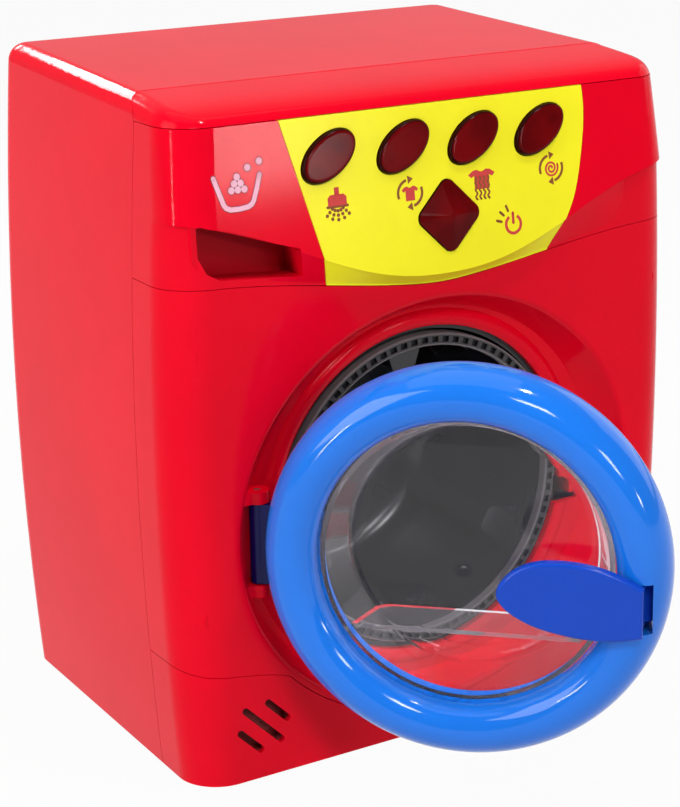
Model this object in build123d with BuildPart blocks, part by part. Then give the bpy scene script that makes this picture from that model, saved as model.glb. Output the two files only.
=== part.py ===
"""Toy washing machine: a red cabinet with a visor control band, a round blue
door on a side hinge, a drum turned by a small gear train, push buttons and a
battery box at the back. Millimetres, +Z up, origin at the middle of the base."""
from build123d import *
import os
from math import asin, atan, cos, degrees, pi, radians, sin, sqrt

os.makedirs("parts", exist_ok=True)

# ---------------------------------------------------------------- cabinet
width = 237.5           # across the front at the floor
depth = 170.6           # front face to back face
side_taper = 4.2        # each side draws in by this much towards the back
side_bow = 5.9          # each side swells by this much at half height
side_height = 280.0     # height of the bowed part of the sides
top_rise = 8.3          # the top climbs this much from front to back
wall = 2.5              # shell thickness
front_corner = 18.0     # plan radius of the front corners
rear_corner = 10.0      # plan radius of the rear corners
top_round = 8.0         # rounding of the top edges
seam = 0.3              # gap between neighbouring shells
foot = 0.5              # shells stop this far above the rest face
front_y = -depth / 2
reach = 180.0           # half length of the solids that cut across the whole width
side_seam_depth = 35.0
lip_seam_height = 272.6
lip_crease_depth = 47.0

# ---------------------------------------------------------------- visor
lean = 0.1314           # visor face: depth gained per unit of height
lean_zero = 250.2       # height at which the visor face meets the front plane
lean_angle = atan(lean)
crease_low = 204.5
crease_high = 237.0
band_low = 198.9
band_high = 210.9

# ---------------------------------------------------------------- dish and drum
dish_x = 1.0
dish_z = 103.0
dish_half_width = 98.0
dish_half_height = 89.3
dish_depth = 13.0
dish_floor_half_width = 87.0
dish_floor_half_height = 82.5
drum_z = 105.0
opening_radius = 72.4
collar_depth = 11.0     # depth of the rounded collar round the opening
rim_outer = 69.0
rim_inner = 63.8
rim_depth = 11.6
rim_thickness = 4.2
rim_slots = 80
drum_wall = 2.2
drum_back = 104.0
drum_floor = 2.6
drum_round = 12.0
tub_inner = 70.4
tub_wall = 1.8
tub_back = 113.5
tub_ear_radius = 100.0
tub_ear_angles = (35, 145, 205, 335)

# ---------------------------------------------------------------- drive
shaft_radius = 3.0
running_fit = 0.05
gear_module = 1.0
drum_teeth = 60
idler_teeth = 24
pinion_teeth = 12
gear_depth = 130.0
gear_width = 6.0
idler_angle = 50.0
plate_depth = 140.0
plate_thickness = 2.4
motor_radius = 10.0
motor_length = 21.0
motor_shaft_radius = 1.0
bush_radius = 4.6
idler_pin_radius = 2.0
plate_posts = [(-38, 80), (42, 80), (-38, 160), (47, 160)]

# ---------------------------------------------------------------- door
door_x = 1.0
door_z = 102.0
door_open = 43.65       # the door stands open by this angle at rest
hinge_x = -85.0
hinge_depth = 6.0
hinge_half = 17.0       # half height of the door barrel
barrel_radius = 3.6
hinge_pin_radius = 1.5
ring_outer = 81.0
ring_inner = 59.4
ring_crest = 15.6
ring_back = 8.8
ring_wall = 2.2
lens_flange = 66.0
bowl_depth = 24.0
handle_pivot_u = 73.5
handle_pivot_off = 6.0
handle_v = -10.0
handle_under = 16.3
handle_thickness = 4.0

# ---------------------------------------------------------------- controls
panel_thickness = 2.5
button_places = (-52.2, -17.5, 16.3, 49.3)
button_height = 256.5
button_long = 13.9
button_short = 8.2
button_tilt = 33.0
button_fit = 0.35
button_travel = 1.8
power_x = 2.0
power_height = 227.0
power_half = 16.1
flange_rim = 1.6        # how far a button's flange reaches past its hole
board_depth = 13.5
board_thickness = 1.6
cap_height = 2.3        # how far the oval caps stand proud
flange_depth = panel_thickness + 0.3
flange_thickness = 1.2
switch_height = 3.6
stem_depth = board_depth - switch_height - button_travel - 0.3
stem_shift = (-5.5, -3.5)

# ---------------------------------------------------------------- back and power
cover_half_width = 92.0
cover_low = 8.0
cover_high = 262.0
ledge = 5.0
cell_radius = 7.1
cell_length = 50.5
cell_depth = 158.4
cell_rows = (26.6, 42.4)
bay_half = 56.0
bay_low = 16.5
bay_high = 52.5
bay_front = 149.0
base_thickness = 2.5
foot_boss = 4.0         # radius of the posts for the base screws
shell_boss = 5.0        # radius of the posts for the shell screws
screw_radius = 1.2
screw_room = 0.2        # what a clearance hole adds to a screw's radius
screw_head = 3.0
screw_slot = 3.4        # length of the cross in a screw's head
screw_slot_width = 0.8
handle_pin_radius = 1.25
speaker_spot = (-88, 24)
speaker_radius = 13.0
sound_slots = [(-81.4, 28.8, 15.7), (-88.3, 23.8, 26.4), (-94.4, 18.0, 16.2)]   # middle and length
slot_width = 3.0
shell_screw_spots = [(-108, 75), (108, 75), (-108, 185), (108, 185)]
cover_screw_spots = [(-83, 28), (83, 28), (-83, 242), (83, 242)]
front_foot_spots = [(-60, front_y + 9), (60, front_y + 9)]
rear_foot_spots = [(-104, 50), (104, 50)]

drum_y_axis = Axis((0, front_y, drum_z), (0, 1, 0))


def facing(distance):
    """Sketch plane parallel to the front, this far behind it, seen from outside."""
    return Plane(origin=(0, front_y + distance, 0), x_dir=(1, 0, 0), z_dir=(0, -1, 0))


def turning(x, z):
    """Half plane through an axis that runs from front to back."""
    return Plane(origin=(x, front_y, z), x_dir=(1, 0, 0), z_dir=(0, 0, 1))


def side_plane(side):
    inward = Vector(-side * depth, -side_taper, 0).normalized()
    return Plane(origin=(side * width / 2, front_y, 0), x_dir=inward, z_dir=inward.cross(Vector(0, 0, 1)))


def bow_at(height, inset):
    middle = side_height / 2
    radius = (middle ** 2 + side_bow ** 2) / (2 * side_bow)
    return radius - side_bow - sqrt((radius - inset) ** 2 - (height - middle) ** 2)


def top_at(distance):
    return side_height + top_rise * distance / depth


def visor_face(height):
    return (height - lean_zero) * lean


def swell(x, span, power):
    reach = min(abs(x), span)
    return ((1 - cos(pi * reach / span)) / 2) ** power


def crease_at(x):
    return crease_low + (crease_high - crease_low) * swell(x, 124, 1.15)


def band_at(x):
    return band_low + (band_high - band_low) * swell(x, 118, 0.81)


def curve_points(rule, lift):
    return [(x, rule(x) + lift) for x in range(-120, 121, 15)]


def above_curve(rule, lift, ceiling):
    """Closed outline of everything above a curve across the front."""
    points = curve_points(rule, lift)
    Spline(*points)
    left, right = points[0], points[-1]
    Polyline(right, (150, right[1]), (150, ceiling), (-150, ceiling), (-150, left[1]), left)


def block(inset, profile, low, high, corners=True):
    """The cabinet between two heights, moved in by an inset, with a given side profile."""
    with BuildPart() as body:
        with BuildSketch(Plane.YZ.offset(-reach)):
            with BuildLine():
                profile(inset, low, high)
            make_face()
        extrude(amount=2 * reach)
        for side in (-1, 1):
            with BuildSketch(side_plane(side).offset(-2 * depth)):
                with BuildLine():
                    low_point = (bow_at(-30, inset), -30)
                    middle_point = (bow_at(140, inset), 140)
                    high_point = (bow_at(310, inset), 310)
                    ThreePointArc(low_point, middle_point, high_point)
                    Polyline(high_point, (260, 310), (260, -30), low_point)
                make_face()
            extrude(amount=4 * depth, mode=Mode.INTERSECT)
        if corners:
            upright = [e for e in body.edges() if e.length > 0.6 * (high - low) and abs(e.center().X) > 95]
            front = [e for e in upright if e.center().Y < -60]
            rear = [e for e in upright if e.center().Y > 60]
            fillet(front, radius=front_corner - inset)
            fillet(rear, radius=rear_corner - inset)
    return body.part


def plain_profile(inset, low, high):
    near = front_y + inset
    far = -front_y - inset
    Polyline((near, low), (near, high), (far, high), (far, low), close=True)


def leaning_profile(inset, low, high):
    shift = front_y + inset / cos(lean_angle)
    far = -front_y - inset
    lower = shift + visor_face(low)
    upper = shift + visor_face(high)
    Polyline((lower, low), (upper, high), (far, high), (far, low), close=True)


def topped_profile(inset, low, high):
    """Plain front, sloping top."""
    near = front_y + inset
    far = -front_y - inset
    if inset > 0:
        far = -front_y - inset - 2.5
    Polyline((near, low), (near, top_at(inset) - inset), (far, top_at(depth) - inset), (far, low), close=True)


def lip_profile(inset, low):
    """Leaning front that rolls over into the sloping top, as far back as a little past the crease."""
    shift = front_y + inset / cos(lean_angle)
    far = front_y + 1.6 * lip_crease_depth
    start = (shift + visor_face(low), low)
    nose = (shift + visor_face(lip_seam_height), lip_seam_height)
    crease = (front_y + lip_crease_depth, top_at(lip_crease_depth) - inset)
    pull_nose = (nose[0] + 2.6, nose[1] + 6 - 0.4 * inset)
    pull_top = (front_y + lip_crease_depth / 2 - 1 + 0.4 * inset, side_height - 0.3 - inset)
    Line(start, nose)
    Bezier(nose, pull_nose, pull_top, crease)
    Polyline(crease, (far, top_at(far - front_y) - inset), (far, low), start)


def lip_blank(inset):
    low = lip_seam_height - 30
    with BuildPart() as body:
        add(block(inset, leaning_profile, low, side_height + 20))
        with BuildSketch(Plane.YZ.offset(-reach)):
            with BuildLine():
                lip_profile(inset, low)
            make_face()
        extrude(amount=2 * reach, mode=Mode.INTERSECT)
        upper = body.edges().filter_by(lambda e: e.center().Z > lip_seam_height + 1)
        ahead = upper.filter_by(lambda e: e.center().Y < front_y + 1.5 * lip_crease_depth)
        fillet(ahead.filter_by(lambda e: abs(e.center().X) > 90), radius=top_round - inset)
    return body.part


def rounded_top(solid, radius, height):
    """Round the upper side edges of a cabinet block."""
    with BuildPart() as body:
        add(solid)
        rim = [e for e in body.edges() if e.center().Z > height and not is_across(e)]
        fillet(rim, radius=radius)
    return body.part


def is_across(edge):
    box = edge.bounding_box()
    return box.size.X > 150 and edge.center().Y < 60


def side_seam(back):
    """Everything ahead of the seam that climbs the side and turns on to the top."""
    seam_y = front_y + side_seam_depth + back
    crease_y = front_y + lip_crease_depth + back
    Polyline(
        (front_y - 20, -20), (seam_y, -20), (seam_y, lip_seam_height - 1),
        (seam_y + 1.5, lip_seam_height + 3.5), (crease_y, side_height + 4), (crease_y, 310),
        (front_y - 20, 310), close=True)


# ---------------------------------------------------------------- rear shell
ear_shift = 2.5         # the ears reach past their holes to the side wall
web_shift = 5.2         # the webs of the rear posts reach out to the side wall

rear_outer = rounded_top(block(0, topped_profile, foot, 300), top_round, 272)
rear_inner = rounded_top(block(wall, topped_profile, foot - 1, 300), top_round - wall, 270)

with BuildPart() as rear_shell:
    add(rear_outer)
    add(rear_inner, mode=Mode.SUBTRACT)
    with BuildSketch(Plane.YZ.offset(-reach)):
        with BuildLine():
            side_seam(0)
        make_face()
    extrude(amount=2 * reach, mode=Mode.SUBTRACT)
    with BuildSketch(facing(depth - wall)):
        with Locations((0, (cover_low + cover_high) / 2)):
            RectangleRounded(2 * cover_half_width, cover_high - cover_low, 8)
    extrude(amount=-wall - 1, mode=Mode.SUBTRACT)
    with BuildSketch(facing(depth - 3 * wall)):
        with Locations((0, (cover_low + cover_high) / 2)):
            RectangleRounded(2 * (cover_half_width - ledge), cover_high - cover_low - 2 * ledge, 6)
    extrude(amount=-3 * wall - 1, mode=Mode.SUBTRACT)
    # ears that the front shell screws to
    for x, z in shell_screw_spots:
        with BuildSketch(facing(side_seam_depth + 2)):
            with Locations((x + (ear_shift if x > 0 else -ear_shift), z)):
                Rectangle(20, 14)
        extrude(amount=-4)
    with BuildSketch(facing(side_seam_depth)):
        with Locations(*shell_screw_spots):
            Circle(screw_radius + screw_room)
    extrude(amount=-10, mode=Mode.SUBTRACT)
    # bosses for the screws of the back cover
    with BuildSketch(facing(depth - wall - 10)):
        with Locations(*cover_screw_spots):
            Circle(5.5)
            Circle(screw_radius, mode=Mode.SUBTRACT)
    extrude(amount=-10)
    # posts for the screws of the base plate
    for x, y in rear_foot_spots:
        with BuildSketch(Plane.XY.offset(base_thickness)):
            with Locations((x, y)):
                Circle(foot_boss)
            with Locations((x + (web_shift if x > 0 else -web_shift), y)):
                Rectangle(9, wall)
            with Locations((x, y)):
                Circle(screw_radius, mode=Mode.SUBTRACT)
        extrude(amount=12)
rear_shell.part.label = "rear_shell"
export_step(rear_shell.part, "parts/rear_shell.step")

# ---------------------------------------------------------------- front shell and kick panel


def dish_reach(distance):
    share = distance / dish_depth
    half_width = dish_half_width + (dish_floor_half_width - dish_half_width) * share
    half_height = dish_half_height + (dish_floor_half_height - dish_half_height) * share
    return half_width, half_height


def dish_oval(distance, grow):
    half_width, half_height = dish_reach(distance)
    with Locations((dish_x, dish_z)):
        Ellipse(half_width + grow, half_height + grow)


def kick_seam(lift):
    """Left to right along the top of the kick panel, without the dish."""
    left = [(-124, 54.3), (-116, 50.7), (-109, 49.4), (-96, 47.5), (-71, 40.5)]
    right = [(-x, z) for x, z in reversed(left)]
    Polyline((-150, left[0][1] + lift), (left[0][0], left[0][1] + lift))
    Spline(*[(x, z + lift) for x, z in left])
    Line((left[-1][0], left[-1][1] + lift), (right[0][0], right[0][1] + lift))
    Spline(*[(x, z + lift) for x, z in right])
    Polyline((-left[0][0], left[0][1] + lift), (150, left[0][1] + lift), (150, -20), (-150, -20),
             (-150, left[0][1] + lift))


def ear_spot(angle):
    return tub_ear_radius * cos(radians(angle)), drum_z + tub_ear_radius * sin(radians(angle))


with BuildPart() as front_whole:
    add(block(0, plain_profile, foot, band_high + 5))
    add(block(wall, plain_profile, foot - 1, band_high + 6), mode=Mode.SUBTRACT)
    with BuildSketch(facing(side_seam_depth - seam)):
        Rectangle(500, 900)
    extrude(amount=-300, mode=Mode.SUBTRACT)
    for distance in (0, dish_depth + wall):
        with BuildSketch(facing(distance)):
            dish_oval(distance, wall)
    loft()
    for angle in tub_ear_angles:
        with BuildSketch(facing(wall / 2)):
            with Locations(ear_spot(angle)):
                Circle(4.5)
        extrude(amount=wall / 2 - dish_depth - wall)
    for distance in (-1, dish_depth):
        with BuildSketch(facing(distance)):
            dish_oval(distance, 0)
    loft(mode=Mode.SUBTRACT)
    with BuildSketch(turning(0, drum_z)):
        with BuildLine():
            inner = (opening_radius, dish_depth + wall)
            lip_start = (opening_radius, collar_depth + 1.4)
            lip_end = (opening_radius + 7.5, dish_depth + 0.6)
            Line(inner, lip_start)
            ThreePointArc(lip_start, (opening_radius + 2.6, collar_depth), lip_end)
            Polyline(lip_end, (opening_radius + 7.5, dish_depth + wall), inner)
        make_face()
    revolve(axis=drum_y_axis)
    with BuildSketch(facing(0)):
        with Locations((0, drum_z)):
            Circle(opening_radius)
    extrude(amount=-dish_depth - 2 * wall, mode=Mode.SUBTRACT)
    mouth = [e for e in front_whole.edges() if abs(e.center().Y - front_y) < 0.01 and e.length > 500]
    fillet(mouth, radius=3)
    # notch that the latch tongue enters
    with BuildSketch(facing(0)):
        with Locations((door_x + handle_pivot_u + 1.5, door_z + handle_v)):
            Rectangle(13, 12)
    extrude(amount=-dish_depth - 2 * wall, mode=Mode.SUBTRACT)
    # lugs that carry the hinge pin above and below the door barrel
    for side in (-1, 1):
        low = door_z + side * (hinge_half + 0.4) - (5 if side < 0 else 0)
        with BuildSketch(Plane.XY.offset(low)):
            with Locations((hinge_x, front_y + hinge_depth)):
                Circle(5)
            with Locations((hinge_x - 3.5, front_y + hinge_depth + 2.5)):
                Rectangle(9, 11)
            with Locations((hinge_x, front_y + hinge_depth)):
                Circle(hinge_pin_radius, mode=Mode.SUBTRACT)
        extrude(amount=5)
    # posts that take the screws through the ears of the rear shell
    with BuildSketch(facing(wall / 2)):
        with Locations(*shell_screw_spots):
            Circle(shell_boss)
    extrude(amount=wall / 2 - side_seam_depth - 2)
    with BuildSketch(facing(side_seam_depth - 5)):
        with Locations(*shell_screw_spots):
            Circle(screw_radius)
    extrude(amount=-20, mode=Mode.SUBTRACT)
    with BuildSketch(facing(dish_depth + wall - 6.5)):
        for angle in tub_ear_angles:
            with Locations(ear_spot(angle)):
                Circle(screw_radius)
    extrude(amount=-10, mode=Mode.SUBTRACT)
    # posts for the screws of the base plate
    for x, y in front_foot_spots:
        with BuildSketch(Plane.XY.offset(base_thickness)):
            with Locations((x, y)):
                Circle(foot_boss)
            with Locations((x, y - 4)):
                Rectangle(2.5, 7)
            with Locations((x, y)):
                Circle(screw_radius, mode=Mode.SUBTRACT)
        extrude(amount=11)

with BuildPart() as below_kick_seam:
    with BuildSketch(facing(-5)):
        with BuildLine():
            kick_seam(0)
        make_face()
        with Locations((dish_x, dish_z)):
            Ellipse(dish_half_width + 3, dish_half_height + 3, mode=Mode.SUBTRACT)
    extrude(amount=-300)

with BuildPart() as kick_panel:
    add(front_whole.part)
    add(below_kick_seam.part, mode=Mode.INTERSECT)
    with BuildSketch(facing(-1)):
        for x, z, run in sound_slots:
            with Locations((x, z)):
                SlotOverall(run, slot_width, rotation=-45)
    extrude(amount=-wall - 3, mode=Mode.SUBTRACT)
    # ring that holds the speaker
    with BuildSketch(facing(wall / 2)):
        with Locations(speaker_spot):
            Circle(speaker_radius + 2)
            Circle(speaker_radius + 0.2, mode=Mode.SUBTRACT)
    extrude(amount=wall / 2 - 9)
kick_panel.part.label = "kick_panel"
export_step(kick_panel.part, "parts/kick_panel.step")

with BuildPart() as front_shell:
    add(front_whole.part)
    with BuildSketch(facing(-5)):
        with BuildLine():
            kick_seam(seam)
        make_face()
        with Locations((dish_x, dish_z)):
            Ellipse(dish_half_width + 3 - seam, dish_half_height + 3 - seam, mode=Mode.SUBTRACT)
    extrude(amount=-300, mode=Mode.SUBTRACT)
    with BuildSketch(facing(-5)):
        with BuildLine():
            above_curve(band_at, 0, 330)
        make_face()
    extrude(amount=-300, mode=Mode.SUBTRACT)
front_shell.part.label = "front_shell"
export_step(front_shell.part, "parts/front_shell.step")

# ---------------------------------------------------------------- control fascia and yellow panel
pocket_corners = [
    (-111, 236.2), (-68, 222.6), (-65.4, 210.9), (-101.9, 213.9), (-107.5, 217.2), (-110.6, 223.5)]
pocket_depth = 12.0
brow = 0.4              # the visor laps over the strip by this much
strip_step = 0.15
strip_dive = 0.9        # its ends run this far into the wall
strip_back = 2.2
strip_bite = 0.3        # the strip starts this far inside the wall and above its lower edge


def strip_section(x):
    """Section through the strip that runs back from the visor crease to the front plane."""
    fade = min(1, (103 - abs(x)) / 23)
    crease = (visor_face(crease_at(x)) * fade + strip_step + strip_dive * (1 - fade), crease_at(x))
    heel = (strip_bite, band_at(x) + seam + strip_bite)
    tip = (crease[0] + 0.35 * (crease[0] - heel[0]), crease[1] + 0.35 * (crease[1] - heel[1]))
    Polygon(heel, tip, (strip_back, tip[1]), (strip_back, heel[1]), align=None)


with BuildPart() as above_crease:
    with BuildSketch(facing(-30)):
        with BuildLine():
            above_curve(crease_at, 0, 330)
        make_face()
    extrude(amount=-400)

with BuildPart() as above_brow:
    with BuildSketch(facing(-30)):
        with BuildLine():
            above_curve(crease_at, -brow, 330)
        make_face()
    extrude(amount=-400)

with BuildPart() as above_band:
    with BuildSketch(facing(-30)):
        with BuildLine():
            above_curve(band_at, seam, 330)
        make_face()
    extrude(amount=-400)

with BuildPart() as strip:
    for x in (-103, -92, -80, -60, -40, -20, 0, 20, 40, 60, 80, 92, 103):
        with BuildSketch(Plane(origin=(x, front_y, 0), x_dir=(0, 1, 0), z_dir=(1, 0, 0))):
            strip_section(x)
    loft()

with BuildPart() as band_low_part:
    add(block(0, plain_profile, band_low - 5, crease_high + 8))
    add(block(wall, plain_profile, band_low - 6, crease_high + 9), mode=Mode.SUBTRACT)
    add(above_band.part, mode=Mode.INTERSECT)
    add(strip.part)
    add(above_crease.part, mode=Mode.SUBTRACT)

with BuildPart() as visor_block:
    add(block(0, leaning_profile, band_low - 5, lip_seam_height - seam))
    add(block(wall, leaning_profile, band_low - 6, lip_seam_height + 2), mode=Mode.SUBTRACT)
    add(above_brow.part, mode=Mode.INTERSECT)

with BuildPart() as fascia_whole:
    add(visor_block.part)
    add(band_low_part.part)
    with BuildSketch(facing(side_seam_depth - seam)):
        Rectangle(500, 900)
    extrude(amount=-300, mode=Mode.SUBTRACT)


panel_right = [
    (70.9, 281), (73.2, 262.7), (70.0, 241.9), (64.4, 224.5), (58.5, 214.5), (53.5, 204), (50, 194)]
panel_left = [(-51.3, 194), (-75.6, 281)]


def panel_prism(grow, near, far):
    """Outline of the yellow panel, widened to both sides and run from front to back."""
    with BuildPart() as prism:
        with BuildSketch(facing(near)):
            with BuildLine():
                right = Spline(*[(x + grow, z) for x, z in panel_right])
                Polyline(right @ 1, *[(x - grow, z) for x, z in panel_left], right @ 0)
            make_face()
        extrude(amount=near - far)
    return prism.part


def visor_plane(offset_out):
    """Plane on the visor face, moved outwards; its origin is where that face meets the front plane."""
    outward_dir = Vector(0, -cos(lean_angle), sin(lean_angle))
    middle = Vector(0, front_y, lean_zero) + outward_dir * offset_out
    return Plane(origin=middle, x_dir=(1, 0, 0), z_dir=outward_dir)


def on_visor(height):
    return (height - lean_zero) / cos(lean_angle)


def oval(x, grow):
    with Locations((x, on_visor(button_height))):
        Ellipse(button_long + grow, button_short + grow, rotation=button_tilt)


def diamond(grow, scale=1):
    with Locations((power_x, on_visor(power_height))):
        RectangleRounded(
            sqrt(2) * power_half * scale + 2 * grow, sqrt(2) * power_half * scale + 2 * grow,
            4 * scale + grow, rotation=45)


board_screw_spots = [(-59.5, -10.5), (60, -6), (-45, -30), (44, -30)]
bar_depth = 7.0         # the upper bar passes behind the pressed buttons
bar_thickness = 2.5
bar_high = 17.7         # middle of the upper bar along the visor
bar_width = 7.4
bar_ends = (-80.5, 77.8)
low_bar_height = 210
low_bar_width = 6
low_bar_ends = (-64.5, 68.5)
window_cut = panel_prism(0, -20, 20)
panel_cut = panel_prism(-0.25, -20, 20)

with BuildPart() as control_fascia:
    add(fascia_whole.part)
    add(window_cut, mode=Mode.SUBTRACT)
    with BuildSketch(facing(wall / 2)):
        Polygon(*pocket_corners, align=None)
        offset(amount=wall)
    extrude(amount=wall / 2 - pocket_depth - wall)
    with BuildSketch(facing(-10)):
        Polygon(*pocket_corners, align=None)
    extrude(amount=-10 - pocket_depth, mode=Mode.SUBTRACT)
    # two bars behind the panel join the left and right halves
    with BuildSketch(visor_plane(-bar_depth)):
        with Locations(((bar_ends[0] + bar_ends[1]) / 2, bar_high)):
            Rectangle(bar_ends[1] - bar_ends[0] + bar_width, bar_width)
    extrude(amount=-bar_thickness)
    with BuildSketch(visor_plane(-wall / 2)):
        with Locations(*[(x, bar_high) for x in bar_ends]):
            Rectangle(bar_width, bar_width)
    extrude(amount=wall / 2 - bar_depth - bar_thickness)
    with BuildSketch(facing(wall + seam)):
        with Locations(((low_bar_ends[0] + low_bar_ends[1]) / 2, low_bar_height)):
            Rectangle(low_bar_ends[1] - low_bar_ends[0], low_bar_width)
    extrude(amount=-bar_thickness)
    with BuildSketch(facing(wall / 2)):
        with Locations((low_bar_ends[0] + low_bar_width / 2, low_bar_height)):
            Rectangle(low_bar_width, low_bar_width)
        with Locations((low_bar_ends[1] - low_bar_width / 2, low_bar_height)):
            Rectangle(low_bar_width, low_bar_width)
    extrude(amount=wall / 2 - wall - seam - bar_thickness)
control_fascia.part.label = "control_fascia"
export_step(control_fascia.part, "parts/control_fascia.step")


with BuildPart() as control_panel:
    add(fascia_whole.part)
    add(panel_cut, mode=Mode.INTERSECT)
    with BuildSketch(visor_plane(5)):
        for x in button_places:
            oval(x, button_fit)
        diamond(button_fit)
    extrude(amount=-20, mode=Mode.SUBTRACT)
    with BuildSketch(visor_plane(-panel_thickness / 2)):
        with Locations(*board_screw_spots):
            Circle(3)
            Circle(screw_radius, mode=Mode.SUBTRACT)
    extrude(amount=panel_thickness / 2 - board_depth)
control_panel.part.label = "control_panel"
export_step(control_panel.part, "parts/control_panel.step")

# ---------------------------------------------------------------- top lip
with BuildPart() as top_lip:
    add(lip_blank(0))
    add(lip_blank(wall), mode=Mode.SUBTRACT)
    with BuildSketch(Plane.YZ.offset(-reach)):
        with BuildLine():
            side_seam(-seam)
        make_face()
    extrude(amount=2 * reach, mode=Mode.INTERSECT)
    with BuildSketch(Plane.XY.offset(lip_seam_height)):
        Rectangle(500, 500)
    extrude(amount=-200, mode=Mode.SUBTRACT)
top_lip.part.label = "top_lip"
export_step(top_lip.part, "parts/top_lip.step")

# ---------------------------------------------------------------- buttons


def oval_cap(x):
    """Domed cap with a flange behind the panel and an off-centre stem."""
    with BuildPart() as cap:
        with BuildSketch(visor_plane(-panel_thickness - 1)):
            oval(x, 0)
        extrude(amount=panel_thickness + 1 + cap_height)
        crown = cap.faces().sort_by(Axis((0, 0, 0), visor_plane(0).z_dir))[-1]
        fillet(crown.edges(), radius=cap_height - 0.5)
        with BuildSketch(visor_plane(-flange_depth - flange_thickness)):
            oval(x, flange_rim)
        extrude(amount=flange_thickness)
        with BuildSketch(visor_plane(-stem_depth)):
            with Locations((x + stem_shift[0], on_visor(button_height) + stem_shift[1])):
                Circle(2.2)
        extrude(amount=stem_depth - flange_depth)
    return cap.part


cap_1 = oval_cap(button_places[0])
with BuildPart() as button_1:
    add(cap_1)
button_1.part.label = "button_1"
export_step(button_1.part, "parts/button_1.step")

cap_2 = oval_cap(button_places[1])
with BuildPart() as button_2:
    add(cap_2)
button_2.part.label = "button_2"
export_step(button_2.part, "parts/button_2.step")

cap_3 = oval_cap(button_places[2])
with BuildPart() as button_3:
    add(cap_3)
button_3.part.label = "button_3"
export_step(button_3.part, "parts/button_3.step")

cap_4 = oval_cap(button_places[3])
with BuildPart() as button_4:
    add(cap_4)
button_4.part.label = "button_4"
export_step(button_4.part, "parts/button_4.step")

with BuildPart() as power_button:
    with BuildSketch(visor_plane(-panel_thickness - 1)):
        diamond(0)
    extrude(amount=panel_thickness + 1.8)
    with BuildSketch(visor_plane(0.8)):
        diamond(0)
    with BuildSketch(visor_plane(cap_height + 1.2)):
        diamond(0, 0.1)
    loft()
    with BuildSketch(visor_plane(-flange_depth - flange_thickness)):
        diamond(flange_rim)
    extrude(amount=flange_thickness)
    with BuildSketch(visor_plane(-stem_depth)):
        with Locations((power_x - 5, on_visor(power_height))):
            Circle(2.2)
    extrude(amount=stem_depth - flange_depth)
power_button.part.label = "power_button"
export_step(power_button.part, "parts/power_button.step")

# ---------------------------------------------------------------- circuit board and what stands on it
switch_spots = [(x + stem_shift[0], on_visor(button_height) + stem_shift[1]) for x in button_places]
switch_spots.append((power_x - 5, on_visor(power_height)))
lamp_spots = [(x - stem_shift[0], on_visor(button_height) - stem_shift[1]) for x in button_places]
lamp_spots.append((power_x + 5, on_visor(power_height)))

with BuildPart() as circuit_board:
    with BuildSketch(visor_plane(-board_depth - board_thickness)):
        with Locations((-1, 4.5)):
            RectangleRounded(128, 35, 3)
        with Locations((-1, -17)):
            RectangleRounded(100, 34, 3)
        with Locations(*board_screw_spots):
            Circle(screw_radius + screw_room, mode=Mode.SUBTRACT)
    extrude(amount=board_thickness)
circuit_board.part.label = "circuit_board"
export_step(circuit_board.part, "parts/circuit_board.step")

with BuildPart() as tact_switches:
    with BuildSketch(visor_plane(-board_depth)):
        with Locations(*switch_spots):
            Rectangle(6, 6)
    extrude(amount=2.6)
    with BuildSketch(visor_plane(-board_depth + 2.6)):
        with Locations(*switch_spots):
            Circle(1.7)
    extrude(amount=switch_height - 2.6)
tact_switches.part.label = "tact_switches"
export_step(tact_switches.part, "parts/tact_switches.step")

with BuildPart() as lamps:
    with BuildSketch(visor_plane(-board_depth)):
        with Locations(*lamp_spots):
            Circle(1.9)
    extrude(amount=1)
    with BuildSketch(visor_plane(-board_depth + 1)):
        with Locations(*lamp_spots):
            Circle(1.5)
    extrude(amount=3)
    fillet(lamps.faces().sort_by(Axis((0, 0, 0), visor_plane(0).z_dir))[-1].edges(), radius=1.2)
lamps.part.label = "lamps"
export_step(lamps.part, "parts/lamps.step")

with BuildPart() as board_screws:
    with BuildSketch(visor_plane(-board_depth - board_thickness - 1.6)):
        with Locations(*board_screw_spots):
            Circle(2.4)
            Rectangle(3, 0.7, mode=Mode.SUBTRACT)
            Rectangle(0.7, 3, mode=Mode.SUBTRACT)
    extrude(amount=1.6)
    with BuildSketch(visor_plane(-board_depth - board_thickness - 0.6)):
        with Locations(*board_screw_spots):
            Circle(screw_radius)
    extrude(amount=board_thickness + 5)
board_screws.part.label = "board_screws"
export_step(board_screws.part, "parts/board_screws.step")

# ---------------------------------------------------------------- door


def swung(across_by, outward_by):
    """Offset in plan, along the open door and out of it."""
    angle = radians(door_open)
    along = Vector(cos(angle), -sin(angle), 0)
    out = Vector(-sin(angle), -cos(angle), 0)
    return along * across_by + out * outward_by


door_along = swung(1, 0)
door_out = swung(0, 1)
hinge_point = Vector(hinge_x, front_y + hinge_depth, door_z)
door_middle = hinge_point + swung(door_x - hinge_x, hinge_depth)
door_axis = Axis(door_middle, door_out)
hinge_u = hinge_x - door_x


def leaf(out_by):
    """Plane parallel to the open door, seen from outside."""
    return Plane(origin=door_middle + door_out * out_by, x_dir=door_along, z_dir=door_out)


def leaf_half():
    """Half plane through the axis of the door ring: radius, then distance out."""
    return Plane(origin=door_middle, x_dir=door_along, z_dir=(0, 0, -1))


def leaf_level(height):
    """Level plane through the door: across, then distance out."""
    return Plane(origin=door_middle + Vector(0, 0, height), x_dir=door_along, z_dir=(0, 0, -1))


crest_radius = (ring_outer + ring_inner) / 2 - 1.2
lens_seat = 4.6
door_screw_radius = 71.0
door_screw_angles = (48, 132, 228, 312)
handle_low = handle_v - 10.5
handle_high = handle_v + 9.5

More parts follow.
